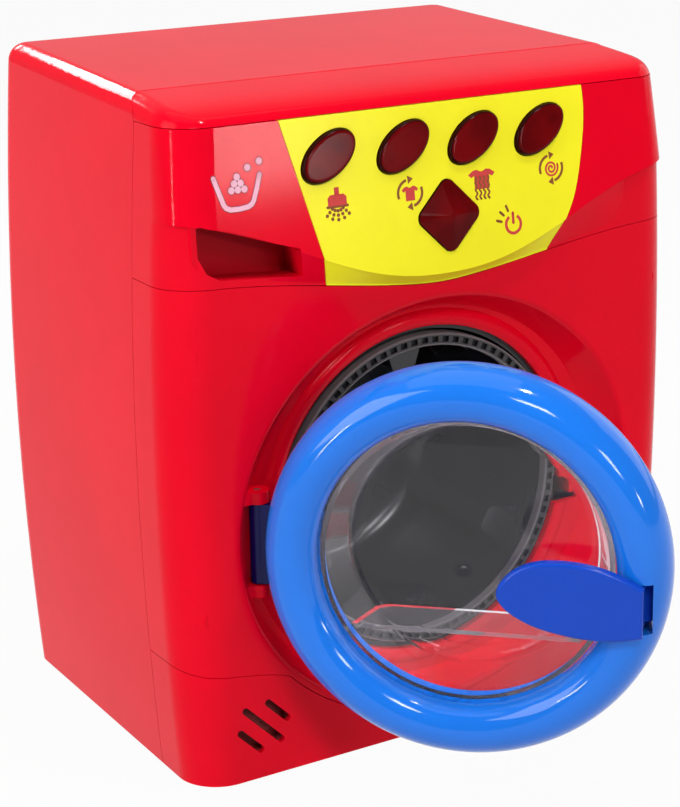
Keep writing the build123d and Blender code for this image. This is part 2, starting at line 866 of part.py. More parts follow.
door_screw_spots = [
    (door_screw_radius * cos(radians(angle)), door_screw_radius * sin(radians(angle)))
    for angle in door_screw_angles]
handle_middle = (handle_low + handle_high) / 2
ring_skin = 0.5         # the ribs inside the ring stop this far from its outside
lip_rise = 7.0          # height of the ring's inner lip above the door's middle plane

with BuildPart() as ring_ribs:
    for low in (handle_high + 0.9, handle_low - 0.9 - 2.5):
        with BuildSketch(leaf_level(low + 2.5)):
            with Locations((handle_pivot_u, ring_crest / 2)):
                Rectangle(6.5, ring_crest - 2)
        extrude(amount=2.5)
    with BuildSketch(leaf(0)):
        with Locations(*door_screw_spots):
            Circle(3)
    extrude(amount=ring_crest)

with BuildPart() as ring_inside:
    with BuildSketch(leaf_half()):
        with BuildLine():
            EllipticalCenterArc((crest_radius, 0), ring_outer - crest_radius - ring_skin,
                                ring_crest - ring_skin, start_angle=0, arc_size=90)
            EllipticalCenterArc((crest_radius, lip_rise), crest_radius - ring_inner - ring_skin,
                                ring_crest - lip_rise - ring_skin, start_angle=90, arc_size=90)
            Polyline((ring_inner + ring_skin, lip_rise), (ring_inner + ring_skin, lip_rise - 2),
                     (ring_inner + ring_wall, lip_rise - 2), (ring_inner + ring_wall, 0),
                     (ring_outer - ring_skin, 0))
        make_face()
    revolve(axis=door_axis)

with BuildPart() as ring_posts:
    add(ring_ribs.part)
    add(ring_inside.part, mode=Mode.INTERSECT)

with BuildPart() as door_ring_front:
    with BuildSketch(leaf_half()):
        with BuildLine():
            shell_outer = EllipticalCenterArc(
                (crest_radius, 0), ring_outer - crest_radius, ring_crest, start_angle=0, arc_size=90)
            lip_arc = EllipticalCenterArc(
                (crest_radius, lip_rise), crest_radius - ring_inner, ring_crest - lip_rise,
                start_angle=90, arc_size=90)
            Polyline(lip_arc @ 1, (ring_inner, lens_seat), (ring_inner + ring_wall, lens_seat),
                     (ring_inner + ring_wall, lip_rise))
            EllipticalCenterArc((crest_radius, lip_rise), crest_radius - ring_inner - ring_wall,
                                ring_crest - ring_wall - lip_rise, start_angle=90, arc_size=90)
            hollow = EllipticalCenterArc((crest_radius, 0), ring_outer - crest_radius - ring_wall,
                                         ring_crest - ring_wall, start_angle=0, arc_size=90)
            Line(hollow @ 0, shell_outer @ 0)
        make_face()
    revolve(axis=door_axis)
    add(ring_posts.part)
    # opening for the root of the handle
    with BuildSketch(leaf(lens_seat + 3)):
        with Locations((handle_pivot_u - 5, handle_middle)):
            Rectangle(11, handle_high - handle_low + 1)
    extrude(amount=20, mode=Mode.SUBTRACT)
    with BuildSketch(leaf_level(handle_high + 6)):
        with Locations((handle_pivot_u, handle_pivot_off)):
            Circle(handle_pin_radius)
    extrude(amount=handle_high - handle_low + 12, mode=Mode.SUBTRACT)
    with BuildSketch(leaf(-1)):
        with Locations(*door_screw_spots):
            Circle(screw_radius)
    extrude(amount=9, mode=Mode.SUBTRACT)
door_ring_front.part.label = "door_ring_front"
export_step(door_ring_front.part, "parts/door_ring_front.step")

ring_seam = 0.3
bowl_seat = 0.8
with BuildPart() as door_ring_back:
    with BuildSketch(leaf_half()):
        with BuildLine():
            back_radius = 72.0
            outside = EllipticalCenterArc((back_radius, -ring_seam), ring_outer - back_radius,
                                          ring_back - ring_seam, start_angle=270, arc_size=90)
            inside = EllipticalCenterArc((back_radius, -ring_seam), ring_outer - back_radius - ring_wall,
                                         ring_back - ring_seam - ring_wall, start_angle=270, arc_size=90)
            Line(outside @ 1, inside @ 1)
            Polyline(outside @ 0, (ring_inner + 1.2, -ring_back), (ring_inner + 1.2, bowl_seat),
                     (ring_inner + 3.6, bowl_seat), (ring_inner + 3.6, ring_wall - ring_back), inside @ 0)
        make_face()
    revolve(axis=door_axis)
    # arm and barrel of the hinge
    with BuildSketch(leaf_level(hinge_half)):
        with Locations((hinge_u, -hinge_depth)):
            Circle(barrel_radius)
        with Locations((hinge_u + 4.5, -hinge_depth)):
            Rectangle(9, 6.4)
    extrude(amount=2 * hinge_half)
    with BuildSketch(leaf_level(hinge_half + 1)):
        with Locations((hinge_u, -hinge_depth)):
            Circle(hinge_pin_radius + running_fit)
    extrude(amount=2 * hinge_half + 2, mode=Mode.SUBTRACT)
    # way out for the latch tongue
    with BuildSketch(leaf(2)):
        with Locations((handle_pivot_u + 0.8, handle_v)):
            Rectangle(6.2, 10)
    extrude(amount=-ring_back - 4, mode=Mode.SUBTRACT)
    # posts and countersunk seats for the door screws
    with BuildSketch(leaf(-ring_seam)):
        with Locations(*door_screw_spots):
            Circle(3.6)
    extrude(amount=-ring_back + ring_seam + ring_wall / 2)
    with BuildSketch(leaf(-ring_back)):
        with Locations(*door_screw_spots):
            Circle(2.8)
    extrude(amount=2, mode=Mode.SUBTRACT)
    with BuildSketch(leaf(-ring_back)):
        with Locations(*door_screw_spots):
            Circle(screw_radius)
    extrude(amount=ring_back + 1, mode=Mode.SUBTRACT)
door_ring_back.part.label = "door_ring_back"
export_step(door_ring_back.part, "parts/door_ring_back.step")

with BuildPart() as door_screws:
    with BuildSketch(leaf(-ring_back + 0.2)):
        with Locations(*door_screw_spots):
            Circle(2.5)
    extrude(amount=1.8)
    with BuildSketch(leaf(-ring_back + 1)):
        with Locations(*door_screw_spots):
            Circle(screw_radius)
    extrude(amount=ring_back + 5)
    with BuildSketch(leaf(-ring_back + 0.2)):
        with Locations(*door_screw_spots):
            Rectangle(3, 0.7)
            Rectangle(0.7, 3)
    extrude(amount=0.8, mode=Mode.SUBTRACT)
door_screws.part.label = "door_screws"
export_step(door_screws.part, "parts/door_screws.step")

lens_top = 9.9
lens_thin = 1.7


def dome(half, rise, top):
    """Arc from the rim to the axis, with its centre on the axis."""
    radius = (half ** 2 + rise ** 2) / (2 * rise)
    sweep = degrees(asin(half / radius))
    return CenterArc((0, top - radius), radius, 90 - sweep, sweep)


with BuildPart() as window_lens:
    with BuildSketch(leaf_half()):
        with BuildLine():
            lens_low = lens_seat - 2.0
            rim_in = ring_inner - 1.4
            top_arc = dome(rim_in + 0.6, lens_top - lens_seat, lens_top)
            bottom_arc = dome(rim_in - 1.2, lens_top - lens_thin - lens_low, lens_top - lens_thin)
            Line(top_arc @ 1, bottom_arc @ 1)
            Polyline(bottom_arc @ 0, (lens_flange, lens_low), (lens_flange, lens_seat), top_arc @ 0)
        make_face()
    revolve(axis=door_axis)
window_lens.part.label = "window_lens"
export_step(window_lens.part, "parts/window_lens.step")

bowl_wall = 1.8
bowl_top = lens_seat - 2.0
bowl_flange = bowl_top - bowl_seat
bowl_mouth = 58.6
bowl_foot = 52.6
ledge_height = -31.0

with BuildPart() as window_bowl:
    with BuildSketch(leaf_half()):
        with BuildLine():
            low = -bowl_depth
            wall_out = Line((bowl_mouth, bowl_top - bowl_flange), (bowl_foot, low + 6))
            turn_out = ThreePointArc(wall_out @ 1, (bowl_foot - 2.2, low + 1.7), (bowl_foot - 6.4, low))
            floor_out = Line(turn_out @ 1, (0, low))
            rise = Line(floor_out @ 1, (0, low + bowl_wall))
            floor_in = Line(rise @ 1, (bowl_foot - 6.6, low + bowl_wall))
            turn_in = ThreePointArc(
                floor_in @ 1, (bowl_foot - 3.5, low + 3.1), (bowl_foot - bowl_wall, low + 6.2))
            Polyline(turn_in @ 1, (bowl_mouth - bowl_wall - 0.4, bowl_top), (lens_flange, bowl_top),
                     (lens_flange, bowl_top - bowl_flange), wall_out @ 0)
        make_face()
    revolve(axis=door_axis)
with BuildPart() as bowl_space:
    with BuildSketch(leaf_half()):
        with BuildLine():
            Polyline((0, bowl_top), (bowl_mouth - 1, bowl_top), (bowl_foot - 0.8, 6 - bowl_depth),
                     (bowl_foot - 6.5, 1 - bowl_depth), (0, 1 - bowl_depth), close=True)
        make_face()
    revolve(axis=door_axis)
with BuildPart() as bowl_ledge:
    with BuildSketch(leaf(-0.5)):
        with Locations((0, ledge_height)):
            Rectangle(120, 1.8)
    extrude(amount=-bowl_depth)
    add(bowl_space.part, mode=Mode.INTERSECT)
with BuildPart() as bowl_whole:
    add(window_bowl.part)
    add(bowl_ledge.part)
bowl_whole.part.label = "window_bowl"
export_step(bowl_whole.part, "parts/window_bowl.step")

with BuildPart() as door_handle:
    with BuildSketch(leaf(handle_under)):
        with BuildLine():
            root_u = handle_pivot_u - 2.8
            upper = Spline((root_u, handle_high), (54, 6.6), (38, 8.6), (22, 4.6), (14.2, -6.4),
                           (22.5, -15.4), (38, -20.8), (54, -22.6), (root_u, handle_low))
            Line(upper @ 1, upper @ 0)
        make_face()
    extrude(amount=handle_thickness)
    front_rim = door_handle.faces().sort_by(Axis((0, 0, 0), door_out))[-1].edges()
    fillet(front_rim, radius=1.4)
    # neck that goes down into the ring, with the barrel of the pivot
    neck_top = handle_high - 0.5
    neck_foot = handle_low + 3.5
    with BuildSketch(leaf_level(neck_top)):
        Polygon((66.6, handle_under + 0.5), (root_u, handle_under + 0.5),
                (root_u + 0.4, 10), (handle_pivot_u + 0.6, 8.2), (handle_pivot_u, 3.6),
                (root_u + 0.2, 4.4), (66.6, 10), align=None)
    extrude(amount=neck_top - neck_foot)
    with BuildSketch(leaf_level(handle_v + 4)):
        with Locations((handle_pivot_u, handle_pivot_off)):
            Circle(2.5)
        Polygon((handle_pivot_u - 1, 5), (76, 5), (76, -16.4), (77.8, -17.4), (77.8, -18.4),
                (76, -20.4), (73.8, -20.4), (73.8, 3.4), (handle_pivot_u - 1, 3.8), align=None)
    extrude(amount=8)
    with BuildSketch(leaf_level(handle_high + 1)):
        with Locations((handle_pivot_u, handle_pivot_off)):
            Circle(handle_pin_radius + running_fit)
    extrude(amount=handle_high - handle_low + 2, mode=Mode.SUBTRACT)
door_handle.part.label = "door_handle"
export_step(door_handle.part, "parts/door_handle.step")

with BuildPart() as handle_pin:
    with BuildSketch(leaf_level(handle_high + 3.2)):
        with Locations((handle_pivot_u, handle_pivot_off)):
            Circle(handle_pin_radius)
    extrude(amount=handle_high - handle_low + 6.4)
handle_pin.part.label = "handle_pin"
export_step(handle_pin.part, "parts/handle_pin.step")

with BuildPart() as latch_keeper:
    with BuildSketch(Plane.XY.offset(door_z + handle_v - 4)):
        Polygon((80.2, front_y + 24), (80.2, front_y + 15.5), (87.5, front_y + 15.5), (87.5, front_y + 16.5),
                (81.2, front_y + 16.5), (81.2, front_y + 24), align=None)
    extrude(amount=8)
latch_keeper.part.label = "latch_keeper"
export_step(latch_keeper.part, "parts/latch_keeper.step")

with BuildPart() as hinge_pin:
    with BuildSketch(Plane.XY.offset(door_z - hinge_half - 5.4)):
        with Locations((hinge_x, front_y + hinge_depth)):
            Circle(hinge_pin_radius)
    extrude(amount=2 * hinge_half + 10.8)
hinge_pin.part.label = "hinge_pin"
export_step(hinge_pin.part, "parts/hinge_pin.step")

# ---------------------------------------------------------------- drum, its housing and shaft
with BuildPart() as drum_tub:
    with BuildSketch(turning(0, drum_z)):
        with BuildLine():
            tub_outer = tub_inner + tub_wall
            tub_front = dish_depth + wall
            Polyline((tub_inner, tub_front), (opening_radius + 6, tub_front),
                     (opening_radius + 6, tub_front + 2), (tub_outer, tub_front + 2),
                     (tub_outer, tub_back + 2.5), (shaft_radius + 5, tub_back + 2.5),
                     (shaft_radius + 5, tub_back + 9), (bush_radius, tub_back + 9),
                     (bush_radius, tub_back), (tub_inner, tub_back), close=True)
        make_face()
    revolve(axis=drum_y_axis)
    # ears out to the posts of the front shell
    with BuildSketch(facing(dish_depth + wall)):
        with Locations((0, drum_z)):
            for angle in tub_ear_angles:
                with PolarLocations((tub_ear_radius + opening_radius) / 2 + 2, 1, start_angle=angle):
                    Rectangle(tub_ear_radius - opening_radius - 4, 9)
        with Locations(*[ear_spot(angle) for angle in tub_ear_angles]):
            Circle(4.5)
            Circle(screw_radius + screw_room, mode=Mode.SUBTRACT)
    extrude(amount=-2)
    # posts for the gear plate
    with BuildSketch(facing(tub_back + 1)):
        with Locations(*plate_posts):
            Circle(3.6)
    extrude(amount=tub_back + 1 - plate_depth)
    with BuildSketch(facing(plate_depth - 7)):
        with Locations(*plate_posts):
            Circle(screw_radius)
    extrude(amount=-7, mode=Mode.SUBTRACT)
    # room for the latch tongue
    with BuildSketch(facing(dish_depth)):
        with Locations((door_x + handle_pivot_u + 2.5, door_z + handle_v)):
            Rectangle(12, 12)
    extrude(amount=-10, mode=Mode.SUBTRACT)
drum_tub.part.label = "drum_tub"
export_step(drum_tub.part, "parts/drum_tub.step")

with BuildPart() as tub_screws:
    with BuildSketch(facing(dish_depth + wall + 2)):
        with Locations(*[ear_spot(angle) for angle in tub_ear_angles]):
            Circle(screw_head)
            Rectangle(screw_slot, screw_slot_width, mode=Mode.SUBTRACT)
            Rectangle(screw_slot_width, screw_slot, mode=Mode.SUBTRACT)
    extrude(amount=-1.8)
    with BuildSketch(facing(dish_depth + wall - 6)):
        with Locations(*[ear_spot(angle) for angle in tub_ear_angles]):
            Circle(screw_radius)
    extrude(amount=-8.5)
tub_screws.part.label = "tub_screws"
export_step(tub_screws.part, "parts/tub_screws.step")

with BuildPart() as drum:
    with BuildSketch(turning(0, drum_z)):
        with BuildLine():
            bore = rim_inner
            skin = rim_inner + drum_wall
            front = rim_depth + rim_thickness
            floor = drum_back + drum_floor
            outer_bend = drum_round + drum_wall
            Line((bore, front), (skin, front))
            Line((skin, front), (skin, floor - outer_bend))
            RadiusArc((skin, floor - outer_bend), (skin - outer_bend, floor), -outer_bend)
            Polyline((skin - outer_bend, floor), (9, floor),
                     (9, tub_back - 1), (shaft_radius, tub_back - 1), (shaft_radius, drum_back - 4),
                     (9, drum_back - 4), (11, drum_back), (bore - drum_round, drum_back))
            RadiusArc((bore - drum_round, drum_back), (bore, drum_back - drum_round), drum_round)
            Line((bore, drum_back - drum_round), (bore, front))
        make_face()
    revolve(axis=drum_y_axis)
drum.part.label = "drum"
export_step(drum.part, "parts/drum.step")

with BuildPart() as drum_rim:
    with BuildSketch(turning(0, drum_z)):
        with BuildLine():
            Polyline((rim_inner, rim_depth + 0.4), (rim_inner + 0.5, rim_depth), (rim_outer - 0.6, rim_depth),
                     (rim_outer, rim_depth + 0.6), (rim_outer, rim_depth + rim_thickness + 3),
                     (rim_inner + drum_wall + 0.02, rim_depth + rim_thickness + 3),
                     (rim_inner + drum_wall + 0.02, rim_depth + rim_thickness),
                     (rim_inner, rim_depth + rim_thickness), close=True)
        make_face()
    revolve(axis=drum_y_axis)
    with BuildSketch(facing(rim_depth)):
        with Locations((0, drum_z)):
            with PolarLocations((rim_inner + rim_outer) / 2, rim_slots):
                Rectangle(2.5, 3.2)
    extrude(amount=-1.5, mode=Mode.SUBTRACT)
drum_rim.part.label = "drum_rim"
export_step(drum_rim.part, "parts/drum_rim.step")


def off_axis(edge):
    middle = edge.center()
    return sqrt(middle.X ** 2 + (middle.Z - drum_z) ** 2)


with BuildPart() as drum_paddles:
    with BuildSketch(facing(28)):
        with Locations((0, drum_z)):
            with PolarLocations(rim_inner - 7, 3, start_angle=90):
                Trapezoid(20, 15, 72, rotation=90)
    extrude(amount=-62)
    ridge = drum_paddles.edges().filter_by(Axis.Y).filter_by(lambda e: off_axis(e) < rim_inner - 10)
    fillet(ridge, radius=3.5)
    with BuildSketch(facing(20)):
        with Locations((0, drum_z)):
            Circle(rim_inner)
    extrude(amount=-80, mode=Mode.INTERSECT)
drum_paddles.part.label = "drum_paddles"
export_step(drum_paddles.part, "parts/drum_paddles.step")

with BuildPart() as drum_shaft:
    with BuildSketch(facing(drum_back - 4)):
        with Locations((0, drum_z)):
            Circle(shaft_radius)
    extrude(amount=drum_back - 4 - plate_depth - plate_thickness - 3)
drum_shaft.part.label = "drum_shaft"
export_step(drum_shaft.part, "parts/drum_shaft.step")

with BuildPart() as shaft_bushes:
    for near, far in ((tub_back, tub_back + 9), (plate_depth - 3, plate_depth + plate_thickness)):
        with BuildSketch(facing(near)):
            with Locations((0, drum_z)):
                Circle(bush_radius)
                Circle(shaft_radius + running_fit, mode=Mode.SUBTRACT)
        extrude(amount=near - far)
shaft_bushes.part.label = "shaft_bushes"
export_step(shaft_bushes.part, "parts/shaft_bushes.step")

with BuildPart() as shaft_collar:
    with BuildSketch(facing(tub_back + 9.4)):
        with Locations((0, drum_z)):
            Circle(shaft_radius + 3.5)
            Circle(shaft_radius, mode=Mode.SUBTRACT)
    extrude(amount=-4)
shaft_collar.part.label = "shaft_collar"
export_step(shaft_collar.part, "parts/shaft_collar.step")

# ---------------------------------------------------------------- gear train
idler_reach = gear_module * (drum_teeth + idler_teeth) / 2
pinion_reach = gear_module * (idler_teeth + pinion_teeth) / 2
idler_x = idler_reach * cos(radians(idler_angle))
idler_z = drum_z + idler_reach * sin(radians(idler_angle))
pinion_x = idler_x
pinion_z = idler_z + pinion_reach


def tooth_sketch(teeth, first):
    """Ring of slim straight-sided teeth, the first one centred on the given angle."""
    pitch = gear_module * teeth / 2
    with PolarLocations(0, teeth, start_angle=first):
        Polygon(
            (pitch - 1.6 * gear_module, -0.8 * gear_module), (pitch, -0.58 * gear_module),
            (pitch + 0.85 * gear_module, -0.28 * gear_module),
            (pitch + 0.85 * gear_module, 0.28 * gear_module),
            (pitch, 0.58 * gear_module), (pitch - 1.6 * gear_module, 0.8 * gear_module), align=None)


with BuildPart() as drum_gear:
    with BuildSketch(facing(gear_depth)):
        with Locations((0, drum_z)):
            Circle(gear_module * drum_teeth / 2 - 1.2 * gear_module)
            tooth_sketch(drum_teeth, idler_angle)
            Circle(shaft_radius, mode=Mode.SUBTRACT)
            with PolarLocations(17, 5):
                Circle(5, mode=Mode.SUBTRACT)
    extrude(amount=-gear_width)
    with BuildSketch(facing(gear_depth - 2.6)):
        with Locations((0, drum_z)):
            Circle(shaft_radius + 3.5)
            Circle(shaft_radius, mode=Mode.SUBTRACT)
    extrude(amount=-2.6)
drum_gear.part.label = "drum_gear"
export_step(drum_gear.part, "parts/drum_gear.step")

half_tooth = 180 / idler_teeth
with BuildPart() as idler_gear:
    with BuildSketch(facing(gear_depth)):
        with Locations((idler_x, idler_z)):
            Circle(gear_module * idler_teeth / 2 - 1.2 * gear_module)
            tooth_sketch(idler_teeth, idler_angle + 180 + half_tooth)
            Circle(idler_pin_radius + running_fit, mode=Mode.SUBTRACT)
    extrude(amount=-gear_width)
idler_gear.part.label = "idler_gear"
export_step(idler_gear.part, "parts/idler_gear.step")

with BuildPart() as idler_pin:
    with BuildSketch(facing(gear_depth - 1)):
        with Locations((idler_x, idler_z)):
            Circle(idler_pin_radius)
    extrude(amount=gear_depth - 1 - plate_depth - plate_thickness)
    with BuildSketch(facing(gear_depth - 0.3)):
        with Locations((idler_x, idler_z)):
            Circle(idler_pin_radius + 1.5)
    extrude(amount=1.5)
idler_pin.part.label = "idler_pin"
export_step(idler_pin.part, "parts/idler_pin.step")

idler_pitch_angle = 360 / idler_teeth
idler_phase = (90 - (idler_angle + 180 + half_tooth)) / idler_pitch_angle
pinion_first = 270 + (idler_phase % 1 + 0.5) * 360 / pinion_teeth

with BuildPart() as motor_pinion:
    with BuildSketch(facing(gear_depth)):
        with Locations((pinion_x, pinion_z)):
            Circle(gear_module * pinion_teeth / 2 - 1.2 * gear_module)
            tooth_sketch(pinion_teeth, pinion_first)
    extrude(amount=-gear_width)
    with BuildSketch(facing(gear_depth + gear_width)):
        with Locations((pinion_x, pinion_z)):
            Circle(motor_shaft_radius)
    extrude(amount=gear_depth + gear_width - plate_depth - plate_thickness - 4)
motor_pinion.part.label = "motor_pinion"
export_step(motor_pinion.part, "parts/motor_pinion.step")

with BuildPart() as drive_motor:
    with BuildSketch(facing(plate_depth + plate_thickness)):
        with Locations((pinion_x, pinion_z)):
            Circle(motor_radius)
            Rectangle(2 * motor_radius, 1.5 * motor_radius, mode=Mode.INTERSECT)
    extrude(amount=-motor_length)
    with BuildSketch(facing(plate_depth)):
        with Locations((pinion_x, pinion_z)):
            Circle(3)
    extrude(amount=-plate_thickness)
    with BuildSketch(facing(plate_depth)):
        with Locations((pinion_x, pinion_z)):
            Circle(motor_shaft_radius + running_fit)
    extrude(amount=-plate_thickness - 5, mode=Mode.SUBTRACT)
drive_motor.part.label = "drive_motor"
export_step(drive_motor.part, "parts/drive_motor.step")

with BuildPart() as gear_plate:
    with BuildSketch(facing(plate_depth)):
        with Locations((4, drum_z + 14)):
            RectangleRounded(100, 106, 8)
        with Locations((0, drum_z)):
            Circle(bush_radius, mode=Mode.SUBTRACT)
        with Locations((idler_x, idler_z)):
            Circle(idler_pin_radius, mode=Mode.SUBTRACT)
        with Locations((pinion_x, pinion_z)):
            Circle(3, mode=Mode.SUBTRACT)
        with Locations(*plate_posts):
            Circle(screw_radius + screw_room, mode=Mode.SUBTRACT)
    extrude(amount=-plate_thickness)
    with BuildSketch(facing(gear_depth + gear_width + 0.4)):
        with Locations((idler_x, idler_z)):
            Circle(idler_pin_radius + 2)
            Circle(idler_pin_radius, mode=Mode.SUBTRACT)
    extrude(amount=gear_depth + gear_width + 0.4 - plate_depth)
gear_plate.part.label = "gear_plate"
export_step(gear_plate.part, "parts/gear_plate.step")

with BuildPart() as gear_plate_screws:
    with BuildSketch(facing(plate_depth + plate_thickness)):
        with Locations(*plate_posts):
            Circle(3)
    extrude(amount=-1.8)
    with BuildSketch(facing(plate_depth - 7)):
        with Locations(*plate_posts):
            Circle(screw_radius)
    extrude(amount=-plate_thickness - 7.5)
gear_plate_screws.part.label = "gear_plate_screws"
export_step(gear_plate_screws.part, "parts/gear_plate_screws.step")

# ---------------------------------------------------------------- speaker
with BuildPart() as speaker:
    with BuildSketch(turning(*speaker_spot)):
        with BuildLine():
            Polyline((0, wall + 1.2), (5, wall + 0.6), (speaker_radius - 2, wall + 2.4),
                     (speaker_radius - 1.2, wall), (speaker_radius, wall), (speaker_radius, wall + 4),
                     (8, wall + 8), (8, wall + 12), (0, wall + 12), close=True)
        make_face()
    revolve(axis=Axis((speaker_spot[0], front_y, speaker_spot[1]), (0, 1, 0)))
speaker.part.label = "speaker"
export_step(speaker.part, "parts/speaker.step")

# ---------------------------------------------------------------- base plate
base_screw_spots = front_foot_spots + rear_foot_spots
base_blank = block(wall + seam, plain_profile, -20, 60)
with BuildPart() as base_plate:
    with BuildSketch(Plane.XY):
        Rectangle(2 * width, 2 * depth)
    extrude(amount=base_thickness)
    add(base_blank, mode=Mode.INTERSECT)
    # the rear wall of the cabinet is twice as thick
    with Locations((0, -wall, 0)):
        add(base_blank, mode=Mode.INTERSECT)
    with BuildSketch(Plane.XY):
        with Locations(*base_screw_spots):
            Circle(screw_radius + screw_room)
    extrude(amount=base_thickness, mode=Mode.SUBTRACT)
    with BuildSketch(Plane.XY):
        with Locations(*base_screw_spots):
            Circle(3.6)
    extrude(amount=2, mode=Mode.SUBTRACT)
    for y in (-40, 0, 40):
        with BuildSketch(Plane.XY.offset(base_thickness / 2)):
            with Locations((0, y)):
                Rectangle(190, 1.6)
        extrude(amount=base_thickness / 2 + 4)
base_plate.part.label = "base_plate"
export_step(base_plate.part, "parts/base_plate.step")

# ---------------------------------------------------------------- back cover, battery box and cells
cover_middle = (cover_low + cover_high) / 2
bay_middle = (bay_low + bay_high) / 2
bay_height = bay_high - bay_low
bay_screw = (0, bay_high + 4.5)
counterbore = 1.6


def bay_outline(grow):
    """Battery cover with the tab that its screw goes through."""
    with Locations((0, bay_middle)):
        Rectangle(2 * (bay_half + grow), bay_height + 2 * grow)
    with Locations(bay_screw):
        RectangleRounded(16 + 2 * grow, 12 + 2 * grow, 3 + grow)


with BuildPart() as back_cover:
    with BuildSketch(facing(depth - wall)):
        with Locations((0, cover_middle)):
            RectangleRounded(2 * (cover_half_width - seam), cover_high - cover_low - 2 * seam, 8 - seam)
        with Locations(*cover_screw_spots):
            Circle(screw_radius + screw_room, mode=Mode.SUBTRACT)
    extrude(amount=-wall)
    with BuildSketch(facing(depth - counterbore)):
        with Locations(*cover_screw_spots):
            Circle(screw_head + 0.3)
    extrude(amount=-wall, mode=Mode.SUBTRACT)
    # level louvres over the drive
    with BuildSketch(facing(depth - wall)):
        with Locations((0, 150)):
            with GridLocations(0, 8, 1, 6):
                SlotOverall(80, 3)
    extrude(amount=-wall, mode=Mode.SUBTRACT)
    # ledge round the battery bay that the battery cover rests on
    with BuildSketch(facing(depth - 2 * wall)):
        bay_outline(2.9)
    extrude(amount=-wall)
    with BuildSketch(facing(depth - wall - 10)):
        with Locations(bay_screw):
            Circle(4.5)
    extrude(amount=-10)
    with BuildSketch(facing(depth - wall)):
        bay_outline(0)
    extrude(amount=-wall - 1, mode=Mode.SUBTRACT)
    with BuildSketch(facing(depth - wall - 10)):
        with Locations((0, bay_middle)):
            Rectangle(2 * bay_half - 4, bay_height - 4)
    extrude(amount=-wall - 10, mode=Mode.SUBTRACT)
    with BuildSketch(facing(depth - wall - 12)):
        with Locations(bay_screw):
            Circle(screw_radius + 0.3)
    extrude(amount=-wall - 12, mode=Mode.SUBTRACT)
back_cover.part.label = "back_cover"
export_step(back_cover.part, "parts/back_cover.step")

with BuildPart() as battery_cover:
    with BuildSketch(facing(depth - wall + 0.1)):
        bay_outline(-seam)
        with Locations(bay_screw):
            Circle(screw_radius, mode=Mode.SUBTRACT)
    extrude(amount=-wall + 0.1)
    with BuildSketch(facing(depth - counterbore)):
        with Locations(bay_screw):
            Circle(screw_head + 0.3)
    extrude(amount=-wall, mode=Mode.SUBTRACT)
    # grooves for the thumb
    with BuildSketch(facing(depth - 0.8)):
        with Locations((0, bay_low + 8)):
            with GridLocations(0, 2.4, 1, 4):
                Rectangle(24, 1)
    extrude(amount=-1, mode=Mode.SUBTRACT)
battery_cover.part.label = "battery_cover"
export_step(battery_cover.part, "parts/battery_cover.step")

with BuildPart() as battery_screw:
    with BuildSketch(facing(depth - counterbore)):
        with Locations(bay_screw):
            Circle(screw_head)
            Rectangle(screw_slot, screw_slot_width, mode=Mode.SUBTRACT)
            Rectangle(screw_slot_width, screw_slot, mode=Mode.SUBTRACT)
    extrude(amount=-1.2)
    with BuildSketch(facing(depth - 9)):
        with Locations(bay_screw):
            Circle(screw_radius)
    extrude(amount=-9 + counterbore + 0.3)
battery_screw.part.label = "battery_screw"
export_step(battery_screw.part, "parts/battery_screw.step")

with BuildPart() as battery_box:
    with BuildSketch(facing(bay_front)):
        with Locations((0, bay_middle)):
            Rectangle(2 * bay_half - 1, bay_height - 1)
    extrude(amount=bay_front - depth + 2 * wall)
    with BuildSketch(facing(bay_front + 1.6)):
        with Locations((0, bay_middle)):
            Rectangle(2 * bay_half - 4, bay_height - 4)
    extrude(amount=-depth, mode=Mode.SUBTRACT)
battery_box.part.label = "battery_box"
export_step(battery_box.part, "parts/battery_box.step")

with BuildPart() as batteries:
    for side in (-1, 1):
        for row in cell_rows:
            cell_start = side * (cell_length / 2 + 0.4) - cell_length / 2
            with BuildSketch(Plane.YZ.offset(cell_start)):
                with Locations((front_y + cell_depth, row)):
                    Circle(cell_radius)
            extrude(amount=cell_length - 1)
            with BuildSketch(Plane.YZ.offset(cell_start + cell_length - 1)):
                with Locations((front_y + cell_depth, row)):
                    Circle(2.6)
            extrude(amount=1)
batteries.part.label = "batteries"
export_step(batteries.part, "parts/batteries.step")

contact_plane = bay_half - 2.0
with BuildPart() as battery_contacts:
    for side in (-1, 1):
        with BuildSketch(Plane.YZ.offset(side * (contact_plane - 0.25) - 0.25)):
            with Locations((front_y + cell_depth, (cell_rows[0] + cell_rows[1]) / 2)):
                Rectangle(9, cell_rows[1] - cell_rows[0] + 9)
        extrude(amount=0.5)
        # bumps that press on the ends of the cells
        with BuildSketch(Plane.YZ.offset(side * (contact_plane - 0.5))):
            with Locations(*[(front_y + cell_depth, row) for row in cell_rows]):
                Circle(3.4)
        extrude(amount=-side * (contact_plane - 0.5 - cell_length - 0.4), taper=20)
battery_contacts.part.label = "battery_contacts"
export_step(battery_contacts.part, "parts/battery_contacts.step")

# ---------------------------------------------------------------- screws of the cabinet
with BuildPart() as cover_screws:
    with BuildSketch(facing(depth - counterbore)):
        with Locations(*cover_screw_spots):
            Circle(screw_head)
            Rectangle(screw_slot, screw_slot_width, mode=Mode.SUBTRACT)
            Rectangle(screw_slot_width, screw_slot, mode=Mode.SUBTRACT)
    extrude(amount=-1.2)
    with BuildSketch(facing(depth - 8)):
        with Locations(*cover_screw_spots):
            Circle(screw_radius)
    extrude(amount=-8 + counterbore + 0.3)
cover_screws.part.label = "cover_screws"
export_step(cover_screws.part, "parts/cover_screws.step")

with BuildPart() as base_screws:
    with BuildSketch(Plane.XY.offset(0.3)):
        with Locations(*base_screw_spots):
            Circle(3.2)
    extrude(amount=1.7)
    with BuildSketch(Plane.XY.offset(1)):
        with Locations(*base_screw_spots):
            Circle(screw_radius)
    extrude(amount=9)
base_screws.part.label = "base_screws"
export_step(base_screws.part, "parts/base_screws.step")

